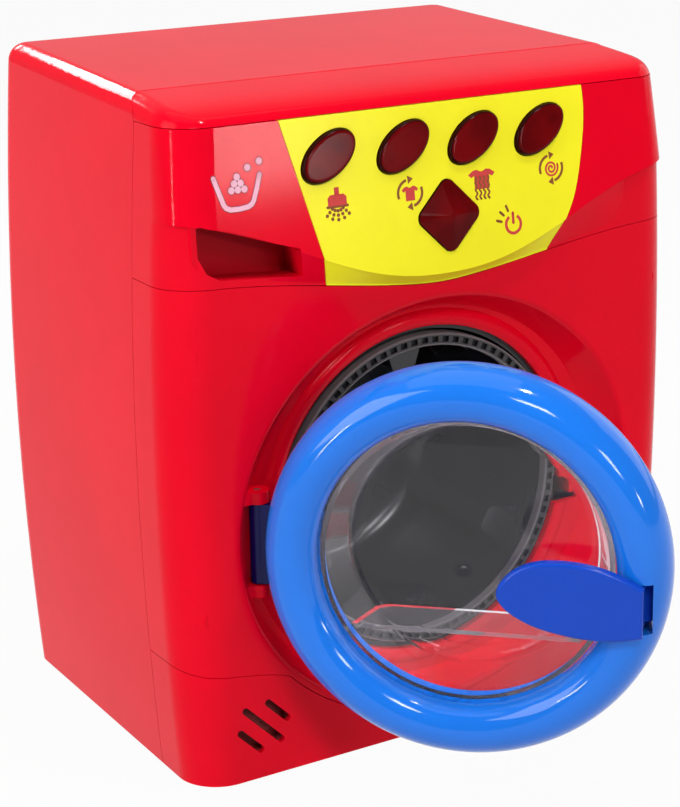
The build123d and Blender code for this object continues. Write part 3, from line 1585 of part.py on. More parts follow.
with BuildPart() as shell_screws:
    with BuildSketch(facing(side_seam_depth + 6)):
        with Locations(*shell_screw_spots):
            Circle(3)
    extrude(amount=-1.8)
    with BuildSketch(facing(side_seam_depth - 4)):
        with Locations(*shell_screw_spots):
            Circle(screw_radius)
    extrude(amount=-10.5)
shell_screws.part.label = "shell_screws"
export_step(shell_screws.part, "parts/shell_screws.step")
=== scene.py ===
"""Looks of a toy washing machine: moulded finishes, printed signs, and a white studio."""

from math import atan, cos, pi, radians, sin

import bpy
from bpy.props import FloatProperty, FloatVectorProperty, IntProperty, PointerProperty
from mathutils import Matrix, Vector
from mathutils.geometry import tessellate_polygon


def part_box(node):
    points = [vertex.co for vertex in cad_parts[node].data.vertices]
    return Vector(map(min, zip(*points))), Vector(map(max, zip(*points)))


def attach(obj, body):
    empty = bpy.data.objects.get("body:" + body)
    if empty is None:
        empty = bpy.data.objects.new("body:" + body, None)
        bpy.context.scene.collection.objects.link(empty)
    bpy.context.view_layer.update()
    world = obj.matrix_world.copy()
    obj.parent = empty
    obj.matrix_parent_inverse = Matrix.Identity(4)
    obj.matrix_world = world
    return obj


bl_info = {
    "name": "Toy Washing Machine",
    "version": (1, 0, 0),
    "blender": (4, 5, 0),
    "location": "View3D > Sidebar > Washer",
    "description": "Moulded finishes, printed signs and a studio for a toy washing machine",
    "category": "Object",
}

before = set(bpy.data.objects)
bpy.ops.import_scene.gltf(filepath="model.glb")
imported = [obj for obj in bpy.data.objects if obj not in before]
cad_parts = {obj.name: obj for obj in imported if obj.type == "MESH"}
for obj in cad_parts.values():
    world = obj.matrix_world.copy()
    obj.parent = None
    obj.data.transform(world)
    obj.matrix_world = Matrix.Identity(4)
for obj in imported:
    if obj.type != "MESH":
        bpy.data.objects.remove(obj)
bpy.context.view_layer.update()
MM = 0.001

# the face of the visor: where it meets the front plane, and how far it leans back
visor_slope = 0.1314
visor_foot = 250.2 * MM
visor_lean = atan(visor_slope)
visor_origin = Vector((0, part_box("front_shell")[0].y, visor_foot))
visor_up = Vector((0, sin(visor_lean), cos(visor_lean)))
visor_out = Vector((0, -cos(visor_lean), sin(visor_lean)))

# the drawer pull in the visor, in metres: between these depths behind the front plane it turns matt and
# its colour is darkened as painted shade
pull_left = -0.1085
pull_right = -0.06
pull_top = 0.2325
pull_skin = 0.0015
pull_inside = 0.008

# the hinge block: its blue, darkened as painted shade, ends between these distances from the hinge pin's
# axis
block_inner = 0.0135
block_outer = 0.0145

# the slots of the drum rim, in metres: the slot line lies this far in from the edge, and past the slot
# depths the inside is painted nearly black as shade
slot_inset = 0.0026
slot_half = 0.0018
slot_edge = (0.0017, 0.0020)
slot_depths = (0.0002, 0.0011)

# the print on a cell, as distances from the cabinet's middle plane in metres
cell_ends = ((0.0011, 0.0014), (0.0482, 0.0485))
cell_shoulder = (0.036, 0.0362)

# middles of the signs on the visor, in millimetres across it and up its slope
shower_spot = (-49.7, -11.2)
washing_spot = (-15.7, -12.3)
steam_spot = (19.3, -10.2)
spin_spot = (54.4, -10.3)
power_spot = (33.5, -31.0)

# the basin's outline, its lowest middle bead and the two beads that fall in
basin_outline = [
    (-103.2, 3.4), (-101.4, -2.2), (-99.8, -6.9), (-98.8, -8.3), (-97.0, -9.1), (-93.0, -9.2),
    (-89.2, -8.8), (-87.6, -8.0), (-86.6, -6.6), (-84.8, -2.0), (-83.2, 2.9)]
bead_heap = (-93.1, -1.9)
falling_beads = ((-88.2, 6.1), (-82.9, 8.0))
basin_edge = 0.35       # width of the dark line round the basin
ink_root = 0.25         # the edge of the ink runs this far into the plastic

# the camera, solved from the photograph's straight edges
camera_place = (-0.485294, -0.80077, 0.414249)
camera_right = (0.85072, -0.52540, -0.01512)
camera_ahead = (0.49814, 0.81509, -0.29576)
camera_focal = 97.14
camera_shift = (-0.0026, 0.0023)


# ---------------------------------------------------------------- shader arithmetic
class Wire:
    """A node's output that takes part in arithmetic; each sum adds a Math node."""

    def __init__(self, recipe, socket):
        self.recipe = recipe
        self.socket = socket

    def output(self, name):
        return Wire(self.recipe, self.socket.node.outputs[name])

    def __add__(self, other):
        return self.recipe.maths("ADD", self, other)

    def __radd__(self, other):
        return self.recipe.maths("ADD", other, self)

    def __sub__(self, other):
        return self.recipe.maths("SUBTRACT", self, other)

    def __rsub__(self, other):
        return self.recipe.maths("SUBTRACT", other, self)

    def __mul__(self, other):
        return self.recipe.maths("MULTIPLY", self, other)

    def __rmul__(self, other):
        return self.recipe.maths("MULTIPLY", other, self)

    def __pow__(self, other):
        return self.recipe.maths("POWER", self, other)

    def __rpow__(self, other):
        return self.recipe.maths("POWER", other, self)

    def __gt__(self, other):
        return self.recipe.maths("GREATER_THAN", self, other)

    def __lt__(self, other):
        return self.recipe.maths("LESS_THAN", self, other)

    def __abs__(self):
        return self.recipe.maths("ABSOLUTE", self, 0)


class Recipe:
    """The nodes of one finish, or of the world."""

    def __init__(self, tree, ending="ShaderNodeOutputMaterial"):
        self.tree = tree
        self.ending = ending
        tree.nodes.clear()

    def node(self, kind, settings=None, sockets=None, out=0):
        """A node with its settings first, then the values or wires of its sockets."""
        made = self.tree.nodes.new(kind)
        for key, value in (settings or {}).items():
            setattr(made, key, value)
        for key, value in (sockets or {}).items():
            if isinstance(value, Wire):
                self.tree.links.new(value.socket, made.inputs[key])
            else:
                made.inputs[key].default_value = value
        return Wire(self, made.outputs[out]) if made.outputs else None

    def maths(self, operation, first, second):
        """One Math node of two wires or numbers."""
        return self.node("ShaderNodeMath", {"operation": operation}, {0: first, 1: second})

    def place(self):
        """Place on the piece, in metres of the shared frame."""
        return self.node("ShaderNodeTexCoord", out="Object")

    def parts(self, vector):
        """The three wires of a vector."""
        split = self.node("ShaderNodeSeparateXYZ", sockets={0: vector})
        return split, split.output("Y"), split.output("Z")

    def noise(self, scale, detail=3.0, rough=0.5):
        """Cloudy noise, finer as the scale grows."""
        return self.node("ShaderNodeTexNoise", sockets={
            "Vector": self.place(), "Scale": scale, "Detail": detail, "Roughness": rough})

    def step(self, value, low, high):
        """0 below low, 1 above high, smooth between them."""
        return self.node(
            "ShaderNodeMapRange", {"interpolation_type": "SMOOTHSTEP"},
            {"Value": value, "From Min": low, "From Max": high, "To Min": 0.0, "To Max": 1.0})

    def mix(self, share, first, second):
        """Colour that goes from first to second."""
        return self.node(
            "ShaderNodeMix", {"data_type": "RGBA", "clamp_factor": True},
            {0: share, 6: first, 7: second}, out=2)

    def drift(self, share, colour, low, high):
        """The colour, scaled from low to high as the share rises."""
        return self.mix(share, rgba(colour, low), rgba(colour, high))

    def flow_grain(self):
        """Height of the faint ripple and grain on a glossy moulding."""
        return self.noise(70.0, 1.0) + 0.12 * self.noise(900.0, 2.0)

    def bump(self, height, distance):
        """A normal that follows the height, in metres."""
        return self.node(
            "ShaderNodeBump", sockets={"Height": height, "Distance": distance, "Strength": 1.0})

    def surface(self, **sockets):
        """The finish's shader; SOCKETS gives the full names of its sockets."""
        named = {SOCKETS[key]: value for key, value in sockets.items()}
        return self.node("ShaderNodeBsdfPrincipled", sockets=named)

    def finish(self, shader):
        """Lead the shader to the output."""
        self.node(self.ending, sockets={"Surface": shader})


SOCKETS = {
    "colour": "Base Color", "roughness": "Roughness", "metallic": "Metallic", "normal": "Normal",
    "specular": "Specular IOR Level", "transmission": "Transmission Weight", "ior": "IOR",
}


def rgba(colour, scale=1.0):
    """Colour with its alpha, made darker or lighter by the scale."""
    return tuple(min(1.0, c * scale) for c in colour[:3]) + (1.0,)


def new_finish(name):
    """A material and the recipe of its nodes."""
    material = bpy.data.materials.new(name)
    material.use_nodes = True
    return material, Recipe(material.node_tree)


def apply(material, *names):
    """Give CAD nodes a finish through their material slots."""
    for name in names:
        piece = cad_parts[name]
        if not piece.material_slots:
            piece.data.materials.append(material)
        for place in piece.material_slots:
            place.link = "OBJECT"
            place.material = material


# ---------------------------------------------------------------- finishes
def gloss_plastic(name, colour, roughness, specular, ripple=0.00002, speck=0.0):
    """Glossy moulding: slow colour drift, faint flow ripple, fine grain and a few dull rub marks."""
    material, r = new_finish(name)
    drift = r.noise(9.0, 2.0)
    cloud = r.noise(55.0, 4.0, 0.6)
    base = r.drift(r.step(drift * 0.7 + cloud * 0.3, 0.35, 0.65), colour, 0.96, 1.04)
    if speck > 0:
        dust = r.node("ShaderNodeTexVoronoi", {"feature": "F1"}, {
            "Vector": r.place(), "Scale": 260.0, "Randomness": 1.0})
        spots = 1 - r.step(dust, 0.03, 0.07)
        base = r.mix(spots * speck * r.step(cloud, 0.5, 0.6), base, rgba((0.9, 0.85, 0.85)))
    rub = r.noise(24.0, 8.0, 0.7)
    gloss = roughness + 0.05 * r.step(rub, 0.55, 0.75) + 0.02 * (cloud - 0.5)
    shader = r.surface(
        colour=base, roughness=gloss, specular=specular, normal=r.bump(r.flow_grain(), ripple))
    r.finish(shader)
    return material


def fascia_plastic(name, colour):
    """Glossy visor moulding whose pull is left matt, with painted shade darkening its inside."""
    material, r = new_finish(name)
    x, y, z = r.parts(r.place())
    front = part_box("front_shell")[0].y
    behind = r.step(y, front + pull_skin, front + pull_inside)
    matt_pull_painted_shade = behind * (z < pull_top) * (x < pull_right) * (x > pull_left)
    drift = r.noise(9.0, 2.0)
    cloud = r.noise(55.0, 4.0, 0.6)
    skin = r.drift(r.step(drift * 0.7 + cloud * 0.3, 0.35, 0.65), colour, 0.96, 1.04)
    # inside the pull the colour is darkened to 0.45 as painted shade; the added roughness makes it matt
    shader = r.surface(
        colour=r.mix(matt_pull_painted_shade, skin, rgba(colour, 0.45)),
        roughness=0.10 + 0.02 * (cloud - 0.5) + 0.3 * matt_pull_painted_shade, specular=0.07,
        normal=r.bump(r.flow_grain(), 0.00002))
    r.finish(shader)
    return material


def ring_with_hinge(name, colour, block):
    """Ring half whose hinge block is painted a deeper blue as shade."""
    material, r = new_finish(name)
    x, y = r.parts(r.place())[:2]
    low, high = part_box("hinge_pin")
    away = ((x - (low.x + high.x) / 2) ** 2 + (y - (low.y + high.y) / 2) ** 2) ** 0.5
    ring = r.drift(r.step(r.noise(9.0, 2.0), 0.35, 0.65), colour, 0.96, 1.04)
    # painted shade: the hinge block near the pin gets the darker blue
    base = r.mix(r.step(away, block_inner, block_outer), rgba(block), ring)
    rub = r.noise(24.0, 8.0, 0.7)
    shader = r.surface(
        colour=base, roughness=0.18 + 0.06 * r.step(rub, 0.55, 0.75), specular=0.2,
        normal=r.bump(r.noise(70.0, 1.0), 0.00002))
    r.finish(shader)
    return material


def plain_plastic(name, colour, roughness=0.5):
    """Satin inside moulding with a spark-eroded grain."""
    material, r = new_finish(name)
    cloud = r.noise(30.0, 4.0, 0.6)
    base = r.drift(r.step(cloud, 0.35, 0.65), colour, 0.92, 1.06)
    grain = r.noise(1400.0, 3.0, 0.6)
    shader = r.surface(
        colour=base, roughness=roughness + 0.08 * (cloud - 0.5), normal=r.bump(grain, 0.00004))
    r.finish(shader)
    return material


def tinted_button(name, colour):
    """Translucent dark red cap: red in its face, with painted shade turning it nearly black where it
    turns down to the panel.
    """
    material, r = new_finish(name)
    normal = r.node("ShaderNodeNewGeometry", out="Normal")
    facing_for_painted_shade = r.node(
        "ShaderNodeVectorMath", {"operation": "DOT_PRODUCT"},
        {0: normal, 1: tuple(visor_out)}, out="Value")
    core = r.drift(r.step(r.noise(60.0, 3.0), 0.35, 0.7), colour, 0.75, 1.3)
    # painted shade: the colour falls to 0.15 where the cap turns away from the visor's face
    base = r.mix(r.step(facing_for_painted_shade, 0.72, 0.97), rgba(colour, 0.15), core)
    shader = r.surface(
        colour=base, roughness=0.1 + 0.06 * r.noise(40.0), specular=0.06,
        normal=r.bump(r.noise(80.0, 1.0), 0.00003))
    r.finish(shader)
    return material


def clear_window(name, edge_sheen_share, spread):
    """Clear styrene with faint flow lines, whose walls get a painted pale reflection the more they are
    seen edge-on.
    """
    material, r = new_finish(name)
    haze = r.noise(35.0, 6.0, 0.7)
    clear = r.surface(
        colour=(0.95, 0.94, 0.965, 1.0), ior=1.27, transmission=1.0,
        roughness=0.012 + 0.05 * r.step(haze, 0.6, 0.85), normal=r.bump(r.noise(28.0, 2.0), 0.00006))
    # painted reflection: a pale surface mixed in where the walls are seen edge-on
    pale = r.surface(colour=(0.82, 0.77, 0.81, 1.0), roughness=0.2, specular=0.3)
    edge_on = r.node("ShaderNodeLayerWeight", sockets={"Blend": 0.5}, out="Facing")
    wall = r.node("ShaderNodeMixShader", sockets={0: edge_sheen_share * edge_on ** spread, 1: clear, 2: pale})
    shadow = r.node("ShaderNodeLightPath", out="Is Shadow Ray")
    through = r.node("ShaderNodeBsdfTransparent", sockets={0: (0.96, 0.965, 0.97, 1.0)})
    r.finish(r.node("ShaderNodeMixShader", sockets={0: shadow, 1: wall, 2: through}))
    return material


def drum_black(name, colour):
    """Near-black gloss with turned rings that catch the light."""
    material, r = new_finish(name)
    rings = r.node("ShaderNodeTexWave", {"wave_type": "BANDS", "bands_direction": "Y"},
                   {"Vector": r.place(), "Scale": 60.0, "Distortion": 0.4, "Detail": 1.0})
    cloud = r.noise(26.0, 4.0)
    base = r.drift(r.step(cloud, 0.3, 0.7), colour, 0.7, 1.6)
    shader = r.surface(
        colour=base, roughness=0.2 + 0.12 * cloud, specular=0.55,
        normal=r.bump(rings * 0.3 + r.noise(120.0, 2.0), 0.00008))
    r.finish(shader)
    return material


def rim_satin(name, colour):
    """Dark ring between two pale edge lines, whose slots are painted nearly black inside as shade."""
    material, r = new_finish(name)
    x, y, z = r.parts(r.place())
    low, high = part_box("drum_rim")
    slot_line = (high.x - low.x) / 2 - slot_inset
    radius = (x ** 2 + (z - (low.z + high.z) / 2) ** 2) ** 0.5
    off_line = abs(radius - slot_line)
    # painted shade: the recessed inside of the slots is coloured nearly black
    slots = r.step(y, *(low.y + depth for depth in slot_depths)) * (off_line < slot_half)
    cloud = r.noise(90.0, 4.0)
    ribs = r.mix(r.step(off_line, *slot_edge), rgba(colour, 0.3), r.drift(cloud, colour, 0.8, 1.15))
    shader = r.surface(
        colour=r.mix(slots, ribs, (0.012, 0.012, 0.014, 1.0)), roughness=0.36 + 0.1 * cloud,
        specular=0.2, normal=r.bump(r.noise(1200.0, 2.0), 0.00003))
    r.finish(shader)
    return material


def bare_metal(name, colour, roughness=0.3, scratch=500.0):
    """Bare metal with fine turning marks and a little tarnish."""
    material, r = new_finish(name)
    tarnish = r.noise(140.0, 5.0, 0.7)
    marks = r.noise(scratch, 2.0, 0.5)
    base = r.mix(r.step(tarnish, 0.5, 0.75), rgba(colour), rgba(colour, 0.62))
    shader = r.surface(
        colour=base, roughness=roughness + 0.15 * marks, metallic=1.0, normal=r.bump(marks, 0.00003))
    r.finish(shader)
    return material


def board_finish(name, colour):
    """Lacquered board with printed copper tracks showing through."""
    material, r = new_finish(name)
    cells = r.node("ShaderNodeTexBrick", {"offset": 0.35}, {
        "Vector": r.place(), "Scale": 55.0, "Mortar Size": 0.035,
        "Brick Width": 0.6, "Row Height": 0.2}, out="Fac")
    fibre = r.noise(700.0, 2.0)
    base = r.mix(cells * 0.6, rgba(colour), (0.16, 0.42, 0.14, 1.0))
    shader = r.surface(
        colour=r.mix(fibre * 0.2, base, rgba(colour, 0.5)), roughness=0.3 + 0.1 * fibre,
        normal=r.bump(cells, 0.00003))
    r.finish(shader)
    return material


def cell_wrap(name):
    """Printed film on the cells: a dark body, a copper-coloured shoulder and bare metal ends."""
    material, r = new_finish(name)
    along = abs(r.parts(r.place())[0])
    near_end, far_end = cell_ends
    bare = 1 - (r.step(along, *near_end) - r.step(along, *far_end))
    shoulder = r.step(along, *cell_shoulder)
    print_colour = r.mix(shoulder, (0.02, 0.022, 0.03, 1.0), (0.55, 0.21, 0.05, 1.0))
    base = r.mix(bare, print_colour, (0.62, 0.62, 0.6, 1.0))
    wear = r.noise(200.0, 4.0)
    shader = r.surface(
        colour=r.mix(wear * 0.15, base, (0.4, 0.4, 0.4, 1.0)), roughness=0.22 + 0.15 * wear,
        metallic=0.3 + 0.6 * bare, normal=r.bump(r.noise(90.0, 3.0), 0.00006))
    r.finish(shader)
    return material


def ink(name, colour):
    """Pad-printed ink: slightly uneven cover and a soft sheen."""
    material, r = new_finish(name)
    patches = r.noise(900.0, 3.0, 0.7)
    base = r.drift(r.step(patches, 0.25, 0.75), colour, 0.9, 1.04)
    shader = r.surface(
        colour=base, roughness=0.32 + 0.15 * patches, specular=0.25,
        normal=r.bump(patches, 0.00001))
    r.finish(shader)
    return material


# ---------------------------------------------------------------- printed signs
class Print:
    """Flat ink shapes on the visor, in millimetres across it and up its slope."""

    def __init__(self, thickness):
        self.thickness = thickness
        self.points = []
        self.faces = []

    def patch(self, outline):
        """A filled outline, with its edge run down into the plastic."""
        first = len(self.points)
        count = len(outline)
        self.points += [(u, v, self.thickness) for u, v in outline]
        self.points += [(u, v, -ink_root) for u, v in outline]
        flat = [Vector((u, v, 0)) for u, v in outline]
        for a, b, c in tessellate_polygon([flat]):
            turn = (flat[b] - flat[a]).cross(flat[c] - flat[a]).z
            face = (a, b, c) if turn > 0 else (a, c, b)
            self.faces.append([first + k for k in face])
        for k in range(count):
            after = (k + 1) % count
            self.faces.append([first + k, first + count + k, first + count + after, first + after])

    def disc(self, u, v, radius, steps=24):
        """A filled circle."""
        turns = [2 * pi * k / steps for k in range(steps)]
        self.patch([(u + radius * cos(t), v + radius * sin(t)) for t in turns])

    def line(self, points, width, ends=True):
        """A stroke of even width with rounded ends."""
        path = [Vector(p) for p in points]
        left, right = [], []
        for k, p in enumerate(path):
            before = (p - path[k - 1]).normalized() if k else None
            ahead = (path[k + 1] - p).normalized() if k < len(path) - 1 else None
            heading = (before or ahead) + (ahead or before)
            heading.normalize()
            side = Vector((-heading.y, heading.x))
            reach = width / 2
            if before and ahead:
                reach /= max(0.5, heading.dot(ahead))
            left.append(p + side * reach)
            right.append(p - side * reach)
        for k in range(len(path) - 1):
            self.patch([tuple(right[k]), tuple(right[k + 1]), tuple(left[k + 1]), tuple(left[k])])
        if ends:
            for p in (path[0], path[-1]):
                self.disc(p.x, p.y, width / 2, steps=16)

    def arc(self, u, v, radius, start, end, width, steps=14, tall=1.0):
        """Part of a circle, or of an oval where tall isn't 1, between two angles in degrees."""
        turns = [radians(start + (end - start) * k / steps) for k in range(steps + 1)]
        path = [(u + radius * cos(t), v + radius * tall * sin(t)) for t in turns]
        self.line(path, width, ends=False)

    def arrow(self, u, v, heading, size):
        """Triangular arrow head."""
        turn = radians(heading)
        ahead = Vector((cos(turn), sin(turn)))
        side = Vector((-ahead.y, ahead.x))
        middle = Vector((u, v))
        corners = (middle - side * size, middle + ahead * size * 1.5, middle + side * size)
        self.patch([tuple(c) for c in corners])

    def build(self, name, material):
        """Lay the shapes on the visor and let them ride on the cabinet."""
        mesh = bpy.data.meshes.new(name)
        across = Vector((1, 0, 0))
        laid = [tuple(visor_origin + (across * u + visor_up * v + visor_out * w) * MM)
                for u, v, w in self.points]
        mesh.from_pydata(laid, [], self.faces)
        mesh.validate()
        if not mesh.polygons:
            raise RuntimeError(f"{name} has no faces")
        piece = bpy.data.objects.new(name, mesh)
        bpy.context.scene.collection.objects.link(piece)
        piece.data.materials.append(material)
        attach(piece, "cabinet")


def shirt(u, v, half, tall):
    """Outline of a short-sleeved shirt with its collar cut out."""
    right = [(0.32, 1.0), (0.62, 0.95), (1.0, 0.55), (0.78, 0.22), (0.55, 0.42), (0.55, -1.0)]
    left = [(-x, y) for x, y in reversed(right)]
    collar = [(-0.18, 0.86), (0.0, 0.78), (0.18, 0.86)]
    return [(u + x * half, v + y * tall) for x, y in left + collar + right]


# ---------------------------------------------------------------- settings
def colour_setting(name, description, default):
    """A colour that can be picked in the panel."""
    return FloatVectorProperty(
        name=name, description=description, subtype="COLOR", size=3, min=0.0, max=1.0,
        default=default)


class WASHER_PG_colours(bpy.types.PropertyGroup):
    """Colours of the mouldings and inks."""
    shell_red: colour_setting("Cabinet red", "Red of the cabinet mouldings", (0.80, 0.0008, 0.016))
    panel_yellow: colour_setting("Panel yellow", "Yellow of the control panel", (0.96, 0.87, 0.022))
    button_red: colour_setting(
        "Button red", "Dark red of the translucent buttons",
        (0.125, 0.001, 0.002))
    ring_blue: colour_setting("Ring blue", "Bright blue of the door ring", (0.007, 0.175, 0.76))
    handle_blue: colour_setting(
        "Handle blue", "Deeper blue of the door handle",
        (0.006, 0.060, 0.50))
    # the hinge block's dark blue is painted shade
    hinge_shade_blue: colour_setting("Hinge blue", "Dark blue of the hinge block", (0.002, 0.003, 0.09))
    drum_dark: colour_setting("Drum black", "Near black of the drum", (0.012, 0.012, 0.015))
    rim_grey: colour_setting("Rim grey", "Grey of the drum rim's edge lines", (0.17, 0.16, 0.165))
    sign_red: colour_setting(
        "Sign red", "Ink of the signs on the yellow panel",
        (0.62, 0.045, 0.04))
    sign_brown: colour_setting(
        "Sign brown", "Ink of the thin lines on the yellow panel",
        (0.27, 0.07, 0.012))
    sign_edge: colour_setting(
        "Sign edge", "Dark ink round the sign on the visor",
        (0.30, 0.004, 0.02))
    sign_pink: colour_setting(
        "Sign pink", "Pale ink of the sign on the red visor",
        (0.95, 0.52, 0.64))


class WASHER_PG_sizes(bpy.types.PropertyGroup):
    """Sizes of the printed signs, in millimetres."""
    ink_thickness: FloatProperty(
        name="Ink", description="How proud the ink stands", default=0.08, min=0.02, max=0.2)
    basin_line: FloatProperty(
        name="Basin line", description="Width of the basin's outline", default=1.95, min=0.5, max=4)
    bead_radius: FloatProperty(
        name="Bead", description="Radius of a powder bead", default=1.38, min=0.5, max=3)
    sign_radius: FloatProperty(
        name="Sign", description="Radius of the arrows round a sign", default=5.7, min=3, max=8)
    thin_line: FloatProperty(
        name="Thin line", description="Width of the thin lines of a sign",
        default=1.1, min=0.2, max=2)
    spray_drops: IntProperty(
        name="Spray drops", description="Drops in each jet of the shower", default=3, min=1, max=5)


class WASHER_PG_stage(bpy.types.PropertyGroup):
    """Floor, lamps and background."""
    floor_size: FloatProperty(
        name="Floor", description="Side of the floor", default=14.0, min=4, unit="LENGTH")
    key_power: FloatProperty(
        name="Left lamp", description="Power of the big lamp on the left",
        default=14.0, min=0, unit="POWER")
    side_power: FloatProperty(
        name="Side strip", description="Power of the tall strip on the left",
        default=2.6, min=0, unit="POWER")
    top_power: FloatProperty(
        name="Top lamp", description="Power of the lamp overhead", default=5.0, min=0, unit="POWER")
    fill_power: FloatProperty(
        name="Right fill", description="Power of the weak lamp on the right",
        default=4.0, min=0, unit="POWER")
    lip_power: FloatProperty(
        name="Lip lamp", description="Power of the small lamp that the top lip mirrors",
        default=5.0, min=0,
        unit="POWER")
    front_power: FloatProperty(
        name="Front lamps", description="Power of the upper lamp in front; the lower has 0.6 of it",
        default=6.6, min=0, unit="POWER")
    visor_power: FloatProperty(
        name="Visor lamp", description="Power of the small lamp that the visor mirrors",
        default=1.7, min=0,
        unit="POWER")
    back_power: FloatProperty(
        name="Back lamp", description="Power of the strip behind the cabinet",
        default=9.0, min=0, unit="POWER")
    ambient: FloatProperty(
        name="Room light", description="Light from the room all round", default=0.16, min=0, max=2)


# ---------------------------------------------------------------- finishes of the CAD pieces
class WASHER_OT_cabinet(bpy.types.Operator):
    """Glossy red on every cabinet moulding"""
    bl_idname = "washer.cabinet"
    bl_label = "Cabinet"

    def execute(self, context):
        colours = context.scene.washer_colours
        red = gloss_plastic("cabinet_red", colours.shell_red, 0.10, 0.07, speck=0.06)
        apply(red, "rear_shell", "front_shell", "kick_panel", "top_lip", "latch_keeper")
        apply(fascia_plastic("fascia_red", colours.shell_red), "control_fascia")
        back = gloss_plastic("back_red", colours.shell_red, 0.24, 0.12)
        apply(back, "base_plate", "back_cover", "battery_cover")
        return {"FINISHED"}


class WASHER_OT_controls(bpy.types.Operator):
    """Yellow panel, translucent buttons, and the board behind them"""
    bl_idname = "washer.controls"
    bl_label = "Controls"

    def execute(self, context):
        colours = context.scene.washer_colours
        yellow = gloss_plastic("panel_yellow", colours.panel_yellow, 0.2, 0.07, ripple=0.00001)
        apply(yellow, "control_panel")
        caps = tinted_button("button_red", colours.button_red)
        apply(caps, "button_1", "button_2", "button_3", "button_4", "power_button")
        apply(board_finish("board_green", (0.02, 0.16, 0.06)), "circuit_board")
        apply(plain_plastic("switch_black", (0.03, 0.03, 0.032), 0.45), "tact_switches")
        apply(gloss_plastic("lamp_red", (0.75, 0.06, 0.05), 0.1, 0.5), "lamps")
        apply(plain_plastic("speaker_red", (0.14, 0.003, 0.003), 0.7), "speaker")
        return {"FINISHED"}


class WASHER_OT_door(bpy.types.Operator):
    """Blue ring, handle and clear window of the door"""
    bl_idname = "washer.door"
    bl_label = "Door"

    def execute(self, context):
        colours = context.scene.washer_colours
        apply(gloss_plastic("ring_blue", colours.ring_blue, 0.09, 0.4), "door_ring_front")
        back = ring_with_hinge("ring_back_blue", colours.ring_blue, colours.hinge_shade_blue)
        apply(back, "door_ring_back")
        apply(gloss_plastic("handle_blue", colours.handle_blue, 0.16, 0.2), "door_handle")
        apply(clear_window("lens_clear", 0.5, 5.0), "window_lens")
        apply(clear_window("bowl_clear", 0.5, 4.2), "window_bowl")
        return {"FINISHED"}


class WASHER_OT_drum(bpy.types.Operator):
    """Drum, its rim and the housing behind the opening"""
    bl_idname = "washer.drum"
    bl_label = "Drum"

    def execute(self, context):
        colours = context.scene.washer_colours
        apply(drum_black("drum_black", colours.drum_dark), "drum", "drum_paddles")
        apply(rim_satin("rim_grey", colours.rim_grey), "drum_rim")
        apply(plain_plastic("housing_black", (0.02, 0.02, 0.022)), "drum_tub")
        return {"FINISHED"}


class WASHER_OT_drive(bpy.types.Operator):
    """Gears, motor, shafts and pins"""
    bl_idname = "washer.drive"
    bl_label = "Drive"

    def execute(self, context):
        nylon = plain_plastic("gear_nylon", (0.80, 0.78, 0.70), 0.4)
        apply(nylon, "drum_gear", "idler_gear", "motor_pinion")
        apply(plain_plastic("plate_grey", (0.30, 0.30, 0.31), 0.5), "gear_plate", "battery_box")
        steel = bare_metal("steel", (0.62, 0.62, 0.63))
        apply(steel, "drum_shaft", "shaft_collar", "idler_pin", "hinge_pin", "handle_pin", "drive_motor")
        apply(bare_metal("bronze", (0.70, 0.46, 0.22), 0.4), "shaft_bushes")
        return {"FINISHED"}


class WASHER_OT_power(bpy.types.Operator):
    """Cells and their contacts"""
    bl_idname = "washer.power"
    bl_label = "Cells"

    def execute(self, context):
        apply(cell_wrap("cell_wrap"), "batteries")
        apply(bare_metal("contact_spring", (0.75, 0.72, 0.66), 0.22, 300.0), "battery_contacts")
        return {"FINISHED"}


class WASHER_OT_screws(bpy.types.Operator):
    """Zinc finish on every screw"""
    bl_idname = "washer.screws"
    bl_label = "Screws"

    def execute(self, context):
        zinc = bare_metal("zinc", (0.55, 0.56, 0.58), 0.34)
        names = [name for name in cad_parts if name.endswith(("_screws", "battery_screw"))]
        if not names:
            raise RuntimeError("no screws in the frame")
        apply(zinc, *names)
        return {"FINISHED"}


# ---------------------------------------------------------------- signs
class WASHER_OT_basin_sign(bpy.types.Operator):
    """Basin with powder beads, beside the pretend drawer"""
    bl_idname = "washer.basin_sign"
    bl_label = "Basin sign"

    def execute(self, context):
        sizes = context.scene.washer_sizes
        edge = Print(sizes.ink_thickness * 0.5)
        self.shapes(edge, sizes, basin_edge)
        edge.build("sign_basin_edge", ink("ink_edge", context.scene.washer_colours.sign_edge))
        sign = Print(sizes.ink_thickness)
        self.shapes(sign, sizes, 0.0)
        sign.build("sign_basin", ink("ink_pink", context.scene.washer_colours.sign_pink))
        return {"FINISHED"}

    def shapes(self, sign, sizes, grow):
        """The basin and its beads, widened all round by grow."""
        sign.line(basin_outline, sizes.basin_line + 2 * grow)
        radius = sizes.bead_radius + grow
        pitch = 2.05 * sizes.bead_radius
        row_rise = 0.87 * pitch
        u, v = bead_heap
        for row in range(3):
            for k in range(3 - row):
                sign.disc(u + (k - (2 - row) / 2) * pitch, v + row * row_rise, radius)
        for bead in falling_beads:
            sign.disc(*bead, radius)


